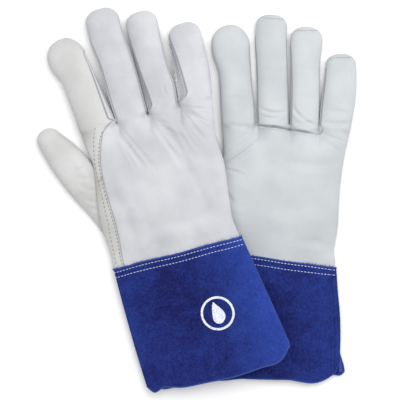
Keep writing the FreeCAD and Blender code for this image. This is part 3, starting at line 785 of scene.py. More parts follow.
@dataclass
class Digit:
    """A finger or a thumb: a closed tube along a line, with a rounded end.

    line holds the middle across and along, the half width and the height at each place from
    the fold line to the tip. thumb_side and little_side are the strips on its two sides.
    """

    name: str
    line: tuple[tuple[float, float, float, float], ...]
    thumb_side: Leaf = field(default_factory=Leaf)
    little_side: Leaf = field(default_factory=Leaf)
    droop: float = 0.0
    dome: float = 12.0
    blunt: float = 2.35
    power: float = 2.75
    square_base: bool = True

    def __post_init__(self) -> None:
        """Works out the rows: even steps to the dome, then even angles round it."""
        keys = np.array(self.line, float)
        steps = np.linalg.norm(np.diff(keys[:, :2], axis=0), axis=1)
        chord = np.concatenate([[0], np.cumsum(steps)])
        long = chord[-1]
        straight = long - self.dome
        near = np.linspace(0, FINE_DIGIT, int(FINE_DIGIT / FINE_CELL))[:-1]
        count = max(4, int((straight - FINE_DIGIT) / CELL))
        rows = np.concatenate([near, np.linspace(FINE_DIGIT, straight, count)[:-1]])
        psi = np.linspace(0, HALF_PI, 15)
        q, w = np.sin(psi) ** (2 / self.blunt), np.cos(psi) ** (2 / self.blunt)
        w[-1] = 0
        self.d = np.concatenate([rows, straight + self.dome * q])
        self.along = self.d / long
        self.round = np.concatenate([np.ones(len(rows)), w])
        curve = spline(chord, keys, self.d)
        tangent = unit(np.gradient(spline(chord, keys[:, :2], np.linspace(0, long, 200)), axis=0))
        tangent = spline(np.linspace(0, long, 200), tangent, self.d)
        across = unit(np.stack([tangent[:, 1], -tangent[:, 0]], -1))
        if self.square_base:
            k = smooth(self.d / 26)[:, None]
            across = unit(across * k + np.array([1.0, 0.0]) * (1 - k))
        self.middle, self.across = curve[:, :2], across
        self.half, self.high = curve[:, 2] * self.round, curve[:, 3]

    def surface(self, low: np.ndarray, high: np.ndarray, columns: int) -> np.ndarray:
        """The tube between two angles at each row.

        Args:
            low: First angle of each row, radians.
            high: Last angle of each row.
            columns: How many points across.

        Returns:
            Rows by columns by 3, mm.
        """
        return self.at(np.arange(len(low)), fan(low, high, columns))

    def at(self, row: np.ndarray, phi: np.ndarray) -> np.ndarray:
        """Points of the tube: middle plus across times half width, height by the section."""
        s, c = section(phi, self.power)
        c = self.slant(row, phi, s, c)
        edge = (self.high * EDGE_SHARE)[row][:, None]
        tall = (self.high[row] * self.round[row] ** 0.9)[:, None]
        upper = tall * (1 - EDGE_SHARE)
        lower = np.maximum(tall * EDGE_SHARE - FLOOR_GAP, 0)
        out = (self.half[row][:, None] * s)[..., None]
        plan = self.middle[row][:, None] + out * self.across[row][:, None]
        z = edge + np.where(c > 0, c * upper, c * lower)
        z = z - sag(plan[..., 1], self.droop)
        return np.concatenate([plan, z[..., None]], -1)

    def slant(self, row: np.ndarray, phi: np.ndarray, s: np.ndarray, c: np.ndarray) -> np.ndarray:
        """Makes a wide strip fall straight from its upper seam to the finger's side.

        Args:
            row: Row numbers.
            phi: Angles, one line for each row.
            s: The section's share across.
            c: The section's share up.

        Returns:
            The share up, a straight line between the seam and the side on the thumb side.
        """
        opened = self.thumb_side.opening(self.along)[0][row][:, None]
        turned = (phi + math.pi) % (2 * math.pi) - math.pi
        s_seam, c_seam = section(opened - HALF_PI, self.power)
        ramp = c_seam * np.clip((1 + s) / np.maximum(1 + s_seam, 1e-6), 0, 1) ** 1.25
        on_strip = (turned < opened - HALF_PI) & (turned > -HALF_PI)
        # only a strip that opens past 50 degrees is slanted, and only where it is over 12 wide
        wide = smooth((np.degrees(opened) - 12) / 22) * (self.thumb_side.top > 50)
        return np.where(on_strip, c * (1 - wide) + ramp * wide, c)

    def borders(self) -> dict[str, tuple[np.ndarray, np.ndarray]]:
        """The angles of each face of the tube: top, little side, bottom and thumb side."""
        thumb_top, thumb_bottom = self.thumb_side.opening(self.along)
        little_top, little_bottom = self.little_side.opening(self.along)
        return {
            "top": (thumb_top - HALF_PI, HALF_PI - little_top),
            "little": (HALF_PI - little_top, HALF_PI + little_bottom),
            "bottom": (HALF_PI + little_bottom, 3 * HALF_PI - thumb_bottom),
            "thumb": (3 * HALF_PI - thumb_bottom, 3 * HALF_PI + thumb_top),
            "wrap": (HALF_PI + little_bottom, 5 * HALF_PI - little_top),
        }

    def face(self, which: str) -> np.ndarray:
        """The grid of one face, cut off where its two borders meet."""
        low, high = self.borders()[which]
        if which in ("little", "thumb"):
            closed = np.nonzero(high - low < 1e-4)[0]
            last = closed[0] + 1 if len(closed) else len(low)
            low, high = low[:last], high[:last]
        wide = float((high - low).max()) * float(self.half.max())
        return self.surface(low, high, max(7, int(wide / 1.15)))


def sag(y: np.ndarray, droop: float) -> np.ndarray:
    """How far a sloping finger falls: a bend spread over 20 mm about the fold line."""
    past = y - KNUCKLE_UP
    bend = 10.0
    return math.tan(math.radians(droop)) * np.where(
        past < -bend, 0, np.where(past > bend, past, (past + bend) ** 2 / (4 * bend))
    )


@dataclass
class Hand:
    """The hand of a glove: a pillow between two outlines that grows into the fingers.

    sides holds the place along, the thumb side and the little-finger side.
    """

    sides: tuple[tuple[float, float, float], ...]
    fingers: tuple[Digit, ...]
    power: float = 2.6
    valley_from: float = 103.0

    def __post_init__(self) -> None:
        """Works out the rows from inside the cuff to the fold lines."""
        keys = np.array(self.sides, float)
        fine = KNUCKLE_UP - FINE_HAND
        coarse = np.linspace(keys[0, 0], fine, int((fine - keys[0, 0]) / CELL) + 1)
        close = np.linspace(fine, KNUCKLE_UP, int(FINE_HAND / FINE_CELL) + 1)
        self.y = np.concatenate([coarse[:-1], close])
        edges = spline(keys[:, 0], keys[:, 1:], self.y)
        self.middle, self.half = edges.mean(1), (edges[:, 1] - edges[:, 0]) / 2
        self.high = WRIST_HIGH + (HAND_HIGH - WRIST_HIGH) * smooth((self.y + 8) / 58)

    def angle(self, x: np.ndarray) -> np.ndarray:
        """The angle on the upper half at a place across, one for each row."""
        return angle_at((x - self.middle) / self.half, self.power)

    def surface(self, low: np.ndarray, high: np.ndarray, columns: int) -> np.ndarray:
        """The pillow between two angles at each row, as Digit.surface."""
        return self.at(fan(low, high, columns))

    def at(self, phi: np.ndarray) -> np.ndarray:
        """Points of the pillow by row and angle.

        Near the fold lines its upper half turns into the fingers' own sections: the height is
        mixed from the pillow's and the highest of the fingers', so valleys run to the crotches.

        Args:
            phi: Angles, one line for each row.

        Returns:
            Rows by columns by 3, mm.
        """
        y, middle, half, high = (a[:, None] for a in (self.y, self.middle, self.half, self.high))
        s, c = section(phi, self.power)
        x = middle + half * s
        y = np.broadcast_to(y, x.shape)
        edge = EDGE_SHARE * high
        mix = smooth((y - self.valley_from) / (KNUCKLE_UP - self.valley_from))
        top = edge + np.clip(c, 0, 1) * (high - edge)
        slit = smooth((y - 120) / 6.5)
        ridge = np.zeros_like(x)
        slope = np.zeros_like(x)
        for finger in self.fingers:
            (cx, _, half_width, _), (nx, ny, _, _) = finger.line[:2]
            lean = (nx - cx) / (ny - KNUCKLE_UP)
            share = np.abs(x - cx - (y - KNUCKLE_UP) * lean * 0.5) / half_width
            share_in = np.clip(share, 0, 1)
            round_up = np.clip(1 - share_in**finger.power, 0, 1) ** (1 / finger.power)
            up = (1 - share_in**2.2) * (1 - slit) + round_up * slit
            slope = np.where(share <= 1.02, sag(y, finger.droop), slope)
            ridge = np.maximum(ridge, up)
        knuckles = FINGER_HIGH * (EDGE_SHARE + (1 - EDGE_SHARE) * ridge)
        top = top * (1 - mix) + knuckles * mix - slope
        low = edge + np.clip(c, -1, 0) * (edge - FLOOR_GAP) - slope
        return np.stack([x, y, np.where(c > 0, top, low)], -1)


@dataclass
class Cuff:
    """A flared cuff: an upper and a lower sheet, sewn along both sides and open at the mouth.

    edges holds the place along and the thumb and little-finger side; hem the mouth's line as
    place across and along; lip the same for the lower sheet, and top the wrist edge's line.
    """

    edges: tuple[tuple[float, float, float], ...]
    top: tuple[tuple[float, float], ...]
    hem: tuple[tuple[float, float], ...]
    lip: tuple[tuple[float, float], ...]
    seam_in: float = 4.6
    ridge: float = 0.0
    flare: float = 0.0
    power: float = 3.4
    rows: int = 76
    high: float = CUFF_HIGH

    def height(self, y: np.ndarray) -> np.ndarray:
        """Height of the cuff: fullest at the wrist, flatter at the mouth."""
        return self.high - 1.6 * smooth(-y / 100)

    def sheet(
        self, low: float, high: float, columns: int, hem: tuple[tuple[float, float], ...]
    ) -> np.ndarray:
        """A sheet of the cuff, from its mouth to its wrist edge.

        Args:
            low: First angle round the section, radians.
            high: Last angle.
            columns: How many points across.
            hem: The mouth's line.

        Returns:
            Rows by columns by 3, mm.
        """
        phi = np.linspace(low, high, columns)
        s, c = section(phi, self.power)
        tops, hems, keys = np.array(self.top), np.array(hem), np.array(self.edges)
        v = np.linspace(0, 1, self.rows)[:, None]
        guess = np.linspace(keys[-1, 0], 0, self.rows)
        sides = spline(keys[::-1, 0], keys[::-1, 1:], guess)
        x = sides.mean(1)[:, None] + (sides[:, 1] - sides[:, 0])[:, None] / 2 * s
        x_hem = np.clip(x[0], hems[0, 0], hems[-1, 0])
        x_top = np.clip(x[-1], tops[0, 0], tops[-1, 0])
        y_hem = spline(hems[:, 0], hems[:, 1:], x_hem)[:, 0]
        y_top = spline(tops[:, 0], tops[:, 1:], x_top)[:, 0]
        y = y_hem + (y_top - y_hem) * v
        # the lower sheet's vent opens from 70 mm down, over the outer part of the plus side
        x = x + np.where(c < 0, self.flare, 0) * smooth((-y - 70) / 20) * smooth((s - 0.55) / 0.45)
        tall = self.height(y)
        edge = tall * 0.45
        z = edge + np.where(c > 0, c * (tall - edge), c * (edge - FLOOR_GAP))
        curl = 0.7 * np.sin(x / 9.5 + 0.6) * np.exp(-(v * self.rows / 9.0))
        wave = curl + 0.25 * np.sin(x / 23 + y / 31)
        z = z + np.where(c > 0, wave, 0) * np.clip(np.abs(c) * 1.6, 0, 1)
        return np.stack([x, y, z], -1)

    def side_ridge(self, points: np.ndarray) -> np.ndarray:
        """Raises the turned allowance along the little-finger seam and dips the seam itself."""
        keys = np.array(self.edges)
        side = spline(keys[::-1, 0], keys[::-1, 2:], points[..., 1].ravel())
        side = side.reshape(points.shape[:2])
        d = side - points[..., 0] - self.seam_in
        lift = 0.85 * np.exp(-((d - 1.6) ** 2) / 1.7) - 1.0 * np.exp(-(d**2) / 0.35)
        out = points.copy()
        out[..., 2] += self.ridge * lift
        return out


# ---------------------------------------------------------------- the two gloves


@dataclass
class Glove:
    """One glove, from its parts' sizes to its pieces in the scene."""

    side: Side
    fingers: tuple[Digit, ...]
    thumb: Digit
    hand: Hand
    cuff: Cuff
    creases: tuple[Crease, ...]
    middle_across: float
    finishes: Finishes
    palm_up: bool

    def __post_init__(self) -> None:
        """Finds the glove's frame."""
        self.place = GloveFrame.from_joints(self.side, self.middle_across)
        self.maker = Maker(self.place, self.creases)

    @property
    def tag(self) -> str:
        """The glove's name in the names of its pieces."""
        return self.side.value

    def grain(self, node: str) -> bpy.types.Material:
        """The leather of a piece: the back panel's cut is cooler than the rest."""
        if self.side is Side.LEFT:
            return self.finishes.left
        cool = node.endswith(("back_panel", "_back"))
        cool = cool or any(name in node for name in ("middle", "ring", "little"))
        return self.finishes.back if cool else self.finishes.palm

    def bend(self, piece: bpy.types.Object, digit: Digit, place: GloveFrame) -> None:
        """Fixes a digit's piece to the hand when its fold has no joint; otherwise bakes its place
        into the mesh.
        """
        fold = f"{self.tag}_{digit.name}_fold"
        joint = next((j for j in frame["joints"] if j["name"] == fold), None)
        if joint is None:
            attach(piece, f"{self.tag}_hand")
            return
        start = np.array(joint["pos_m"])
        (x0, y0), (x1, y1) = digit.line[1][:2], digit.line[-2][:2]
        way = unit(place.world(np.array([x1, y1, 0.0])) - place.world(np.array([x0, y0, 0.0])))
        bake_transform(piece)

    def build_hand(self) -> None:
        """Makes the hand's two panels, which each glove cuts in its own way."""
        raise NotImplementedError

    def build(self) -> None:
        """Makes the pieces that both gloves have."""
        self.build_hand()
        self.build_fingers()
        self.build_thumb()
        self.build_cuff()
        self.build_fuzz()
        self.build_cuff_stitches()

    def build_fingers(self) -> None:
        """Makes the four fingers from their sewn faces."""
        upper, under = ("front", "back") if self.palm_up else ("back", "front")
        for digit in self.fingers:
            node = f"{self.tag}_{digit.name}"
            faces = {f"{node}_{upper}": "top", f"{node}_{under}": "bottom"}
            if digit.name == "index":
                faces = {f"{node}_wrap": "wrap"}
            else:
                faces[f"{node}_fourchette_thumb_side"] = "thumb"
            if digit.name != "little":
                faces[f"{node}_fourchette_little_side"] = "little"
            for name, face in faces.items():
                points = self.maker.crumple(digit.face(face))
                leaf = {"thumb": digit.thumb_side, "little": digit.little_side}.get(face)
                if leaf:
                    points = self.gather(points, leaf)
                piece = self.maker.leather(name, sew(points, "lr"), "lr", self.grain(name),
                                           seam_wide=0.7 if leaf else 1.0)
                self.bend(piece, digit, self.place)

    def gather(self, points: np.ndarray, leaf: Leaf) -> np.ndarray:
        """Small puckers across a strip that is eased into its seam: a sine along it."""
        if not leaf.gathers:
            return points
        y = points[..., 1]
        fade = np.sin(np.pi * np.clip((y - y.min()) / np.ptp(y), 0, 1)) ** 0.5
        wave = np.sin(y * 1.9 + 2.0 * np.sin(y * 0.31) + points[..., 0] * 0.5)
        return points + grid_normals(points) * (leaf.gathers * fade * wave)[..., None]

    def build_thumb(self) -> None:
        """Makes the thumb, which lies on the surface even where the hand is tilted."""
        place = self.place.laid_flat()
        upper, under = ("inner", "outer") if self.palm_up else ("outer", "inner")
        for part, face in ((upper, "top"), (under, "bottom")):
            node = f"{self.tag}_thumb_{part}"
            points = self.maker.crumple(self.thumb.face(face))
            piece = self.maker.leather(node, sew(points, "lr"), "lr", self.grain(node), place=place)
            self.bend(piece, self.thumb, place)

    def seat(self, piece: bpy.types.Object) -> bpy.types.Object:
        """Fixes a piece to the hand's body."""
        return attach(piece, f"{self.tag}_hand")

    def build_cuff(self) -> None:
        """Makes the cuff's two sheets; the lengths of each laid flat are worked out but not used.
        """
        upper, under = ("palm", "back") if self.palm_up else ("back", "palm")
        sheets = (
            (upper, -HALF_PI, HALF_PI * 0.99, 118, self.cuff.hem),
            (under, HALF_PI, 3 * HALF_PI, 110, self.cuff.lip),
        )
        for part, low, high, columns, hem in sheets:
            points = self.cuff.sheet(low, high, columns, hem)
            if part == upper:
                points = self.cuff.side_ridge(points)
                self.cuff_top = points
            node = f"{self.tag}_cuff_{part}"
            piece = self.maker.leather(node, points, "lrbt", self.finishes.suede, "suede",
                                       "suede_cuff", SUEDE, seam_wide=0.8)
            self.seat(piece)
            self.paint_nap_sheen(piece.data)
            lengths = border_distance(points, "b")[-1], border_distance(points, "l")[:, -1]

    def paint_nap_sheen(self, mesh: bpy.types.Mesh) -> None:
        """Notes how far the nap is brushed up, which paints the nap's sheen into its colour:
        lighter towards the sides, darker in the middle.
        """
        places = np.empty(len(mesh.vertices) * 3)
        mesh.vertices.foreach_get("co", places)
        local = (places.reshape(-1, 3) - self.place.origin) @ self.place.axes.T / MM
        x, y = local[:, 0], local[:, 1]
        side = smooth((x - 10) / 62) + 0.35 * smooth((-40 - x) / 20)
        darker_middle = smooth(1 - np.abs(y + 42) / 40) * smooth(1 - np.abs(x + 5) / 50)
        # painted nap sheen: lighter towards the sides, darker in the middle
        lie = side * (0.25 if self.palm_up else 1.0) - 0.3 * darker_middle
        attribute = mesh.attributes.new("nap", "FLOAT", "POINT")
        attribute.data.foreach_set("value", lie.astype(np.float32))

    def build_fuzz(self) -> None:
        """Loose fibres standing out of the cuff's raw wrist edge: bent three-sided spikes."""
        random = np.random.default_rng(7 if self.palm_up else 5)
        edge = self.cuff_top[-1]
        count = 620
        at = random.uniform(2, len(edge) - 3, count)
        i = at.astype(int)
        root = edge[i] + (edge[i + 1] - edge[i]) * (at - i)[:, None]
        back, down = random.uniform(0.2, 1.6, count), random.uniform(0.0, 0.9, count)
        root = root - np.stack([np.zeros(count), back, down], -1)
        across, out = random.normal(0, 0.5, count), random.uniform(0.3, 1, count)
        way = unit(np.stack([across, out, random.normal(0.15, 0.3, count)], -1))
        long = random.uniform(1.0, 2.9, count)[:, None]
        curl = unit(random.normal(0, 1, (count, 3)))
        thick, sides, stops = 0.16, 3, 4
        a = np.arange(sides) * 2 * np.pi / sides
        side = unit(np.cross(way, [0.3, 0.1, 1.0]))
        other = np.cross(way, side)
        rings = [
            root[:, None] + (way * long * t)[:, None] + (curl * long * 0.35 * t * t)[:, None]
            + (side[:, None] * np.cos(a)[:, None] + other[:, None] * np.sin(a)[:, None])
            * thick * (1 - 0.96 * t)
            for t in np.linspace(0, 1, stops)
        ]
        points = np.concatenate(rings, 1)
        name = f"{self.tag}_cuff_loose_nap"
        mesh = solid_of(name, self.place.world(points), tube_faces(sides, stops))
        self.seat(self.maker.put(name, mesh, self.finishes.fuzz, "suede_cuff", None))

    def put_stitches(self, node: str, rows: list["Row"], material: bpy.types.Material, slot: str,
                     body: str) -> None:
        """Makes one piece of all the stitches of some rows.

        Args:
            node: The CAD group of stitches that it stands for.
            rows: The rows, whose stitches can differ in size.
            material: The thread.
            slot: The record's material slot.
            body: The body that the leather under them rides on.
        """
        made = [row.bars() for row in rows]
        points = np.concatenate([m[0] for m in made])
        mesh = solid_of(f"{node}_thread", self.place.world(points), made[0][1])
        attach(self.maker.put(f"{node}_thread", mesh, material, slot, node), body)

    def build_cuff_stitches(self) -> None:
        """Two rows of white thread under the cuff's wrist edge."""
        top, normals = self.cuff_top, grid_normals(self.cuff_top)
        below = border_distance(top, "t")
        rows = []
        for deep in (3.1, 7.5):
            row = int(np.abs(below[:, 60] - deep).argmin())
            rows.append(Row(top[row, 3:-7], normals[row, 3:-7], 3.0, (2.5, 0.62, 0.7)))
        self.put_stitches(f"{self.tag}_cuff_stitching", rows, self.finishes.white, "white_thread",
                          f"{self.tag}_hand")

    def hand_path(self, points: tuple[tuple[float, float], ...], shift: float = 0.0,
                  step: float = 0.8) -> tuple[np.ndarray, np.ndarray]:
        """A line on the hand's upper face.

        Args:
            points: Places (across, along), the along ones rising.
            shift: How far to move the line across, mm.
            step: Distance along between the path's points, mm.

        Returns:
            Points on the leather and the directions off it.
        """
        keys = np.array(points, float)
        y = np.arange(keys[0, 1], keys[-1, 1], step)
        x = spline(keys[:, 1], keys[:, :1], y)[:, 0] + shift
        angle = self.hand.angle(np.interp(self.hand.y, y, x))
        near = np.stack([angle - 0.02, angle, angle + 0.02], 1)
        grid = self.maker.crumple(self.hand.at(near))
        up = grid_normals(grid)[:, 1]
        path, off = (
            np.stack([np.interp(y, self.hand.y, v[:, k]) for k in range(3)], -1)
            for v in (grid[:, 1], up)
        )
        path[:, :2] = np.stack([x, y], -1)
        return path, off


@dataclass
class Row:
    """One row of stitches along a path.

    size is a stitch's length, width and height; turned is its slant in radians.
    """

    path: np.ndarray
    up: np.ndarray
    pitch: float
    size: tuple[float, float, float]
    turned: float = 0.0

    def bars(self) -> tuple[np.ndarray, np.ndarray]:
        """The stitches, evenly spaced by the path's length, and the faces of one."""
        steps = np.linalg.norm(np.diff(self.path, axis=0), axis=1)
        far = np.concatenate([[0], np.cumsum(steps)])
        at = np.arange(self.pitch / 2, far[-1], self.pitch)

        def read(values: np.ndarray, where: np.ndarray) -> np.ndarray:
            """Values at lengths along the path."""
            return np.stack([np.interp(where, far, values[:, k]) for k in range(3)], -1)

        off = unit(read(self.up, at))
        along = unit(read(self.path, at + 0.5) - read(self.path, at - 0.5))
        along = along * math.cos(self.turned) + np.cross(off, along) * math.sin(self.turned)
        return bars(read(self.path, at) + off * self.size[2] * 0.12, along, off, self.size)


@dataclass
class RightGlove(Glove):
    """The right glove, back up: its back panel is lapped over the index leather's edge.

    panel_edge is the folded edge of the back panel, and outer_row the row of straw-coloured
    stitches on the strip beside it, both as places across and along.
    """

    panel_edge: tuple[tuple[float, float], ...] = ()
    outer_row: tuple[tuple[float, float], ...] = ()
    lap: float = 3.2

    def build_hand(self) -> None:
        """Makes the back panel with its folded edge, and the palm panel that turns under it."""
        keys = np.array(self.panel_edge)
        edge = spline(keys[:, 1], keys[:, :1], np.clip(self.hand.y, keys[0, 1], keys[-1, 1]))[:, 0]
        edge = np.minimum(edge, self.hand.middle + self.hand.half * 0.9)
        start, side = self.hand.angle(edge), np.full_like(edge, UNDER_EDGE)
        panel = self.maker.crumple(self.hand.surface(start, side, 186))
        away = border_distance(panel, "l")
        panel = panel + grid_normals(panel) * (0.62 * np.exp(-((away / 5.0) ** 2)))[..., None]
        panel[:, 0] -= grid_normals(panel)[:, 0] * 0.5
        node = f"{self.tag}_back_panel"
        panel = sew(panel, "r")
        self.seat(self.maker.leather(node, panel, "lr", self.grain(node), seam_wide=0.7))
        inner = self.hand.angle(edge + self.lap)
        palm = self.maker.crumple(self.hand.surface(side, inner + 2 * math.pi, 176))
        away = border_distance(palm, "r")
        sunk = 0.75 * (1 - smooth((away - self.lap) / 4.5))
        palm = palm - grid_normals(palm) * sunk[..., None]
        node = f"{self.tag}_palm_panel"
        self.seat(self.maker.leather(node, sew(palm, "l"), "l", self.grain(node)))

    def build_back_stitches(self) -> None:
        """The outer row, the close pair at the panel's edge and the bartack of straw thread."""
        small = (2.2, 0.75, 0.7)
        low = tuple(p for p in self.panel_edge if p[1] < 122)
        rows = [Row(*self.hand_path(self.outer_row), 3.9, small)]
        rows += [Row(*self.hand_path(low, s), 3.3, (2.0, 0.6, 0.9)) for s in (-1.6, 1.9)]
        tack = self.hand_path(((-51.4, 78.4), (-45.2, 80.4)), step=0.1)
        rows.append(Row(*tack, 1.9, (1.4, 0.6, 0.8)))
        for x, y in ((-45.6, 82.2), (-44.9, 79.2), (-45.4, 76.2)):
            loop = ((x - 1.0, y - 0.6), (x + 1.0, y + 0.6))
            rows.append(Row(*self.hand_path(loop, step=0.1), 1.4, (2.4, 0.8, 1.1), turned=0.5))
        self.put_stitches(f"{self.tag}_back_seam_stitching", rows, self.finishes.aramid,
                          "aramid_thread", f"{self.tag}_hand")

    def cuff_point(self, x: np.ndarray, y: np.ndarray, lift: float) -> np.ndarray:
        """Places on the cuff's upper sheet: the mean height of the six nearest grid points."""
        top = self.cuff_top
        flat = top.reshape(-1, 3)
        away = (x.ravel()[:, None] - flat[:, 0]) ** 2 + (y.ravel()[:, None] - flat[:, 1]) ** 2
        near = np.argpartition(away, 6, axis=1)[:, :6]
        weight = 1 / (np.take_along_axis(away, near, 1) + 0.05)
        z = (flat[near, 2] * weight).sum(1) / weight.sum(1) + lift
        return np.stack([x, y, z.reshape(x.shape)], -1)

    def build_emblem(self, middle: tuple[float, float] = (22.0, -60.0), outer: float = 15.0,
                     line: float = 2.0, tall: float = 20.0) -> None:
        """Prints a ring with a flame on the cuff: two thin films of ink.

        The ring is a band between two radii. The flame is ruled between two sides whose half
        width is a sine swelled low down, about an axis that sways as it rises.

        Args:
            middle: Middle of the ring, mm in the glove's frame.
            outer: Outer radius of the ring.
            line: Width of the ring's line.
            tall: Height of the flame.
        """
        turn = np.linspace(0, 2 * np.pi, 121)[:, None]
        radius = np.linspace(outer, outer - line, 4)
        lift = 0.3
        ring = self.cuff_point(
            middle[0] + radius * np.cos(turn), middle[1] + radius * np.sin(turn), lift,
        )
        v = np.linspace(0, 1, 40)[:, None]
        u = np.linspace(-1, 1, 12)
        half = 5.6 * np.sin(np.pi * v**0.62) ** 0.9
        sway = 1.5 * np.sin(v * 5.2) * v
        flame = self.cuff_point(
            middle[0] + sway + half * u, middle[1] + (v - 0.47) * tall + 0 * u, lift,
        )
        for part, grid in (("ring", ring), ("flame", flame)):
            node = f"{self.tag}_cuff_emblem_{part}"
            piece = self.maker.leather(node, grid, "", self.finishes.ink, "ink", "cuff_print", 0.35)
            self.seat(piece)

    def build(self) -> None:
        """Makes every piece of the glove."""
        super().build()
        self.build_back_stitches()
        self.build_emblem()


@dataclass
class LeftGlove(Glove):
    """The left glove, palm up: its palm panel reaches round both sides."""

    def build_hand(self) -> None:
        """Makes the palm panel over the top and round the thumb side, and the back under it."""
        turned = np.full(len(self.hand.y), -HALF_PI - 0.6)
        side = np.full(len(self.hand.y), UNDER_EDGE)
        palm = sew(self.maker.crumple(self.hand.surface(turned, side, 210)), "lr")
        node = f"{self.tag}_palm_panel"
        self.seat(self.maker.leather(node, palm, "lr", self.grain(node)))
        back = sew(self.hand.surface(side, turned + 2 * math.pi, 96), "lr")
        node = f"{self.tag}_back_panel"
        self.seat(self.maker.leather(node, back, "lr", self.grain(node)))

    def build_tip_stitches(self) -> None:
        """Short rows of thread over the ends of the middle, ring and little fingers."""
        for digit in self.fingers[1:]:
            node = f"{self.tag}_{digit.name}"
            top = self.maker.crumple(digit.face("top"))
            normals = grid_normals(top)
            row = int(np.abs(digit.d - (digit.d[-1] - 4.0)).argmin())
            part = slice(int(top.shape[1] * 0.16), int(top.shape[1] * 0.84))
            rows = [Row(top[row, part], normals[row, part], 2.6, (1.8, 0.7, 0.6))]
            # the thread is white; its darker finish is painted shade
            self.put_stitches(f"{node}_tip_stitching", rows, self.finishes.shaded_white_thread,
                              "white_thread", node)

    def build(self) -> None:
        """Makes every piece of the glove."""
        super().build()
        self.build_tip_stitches()


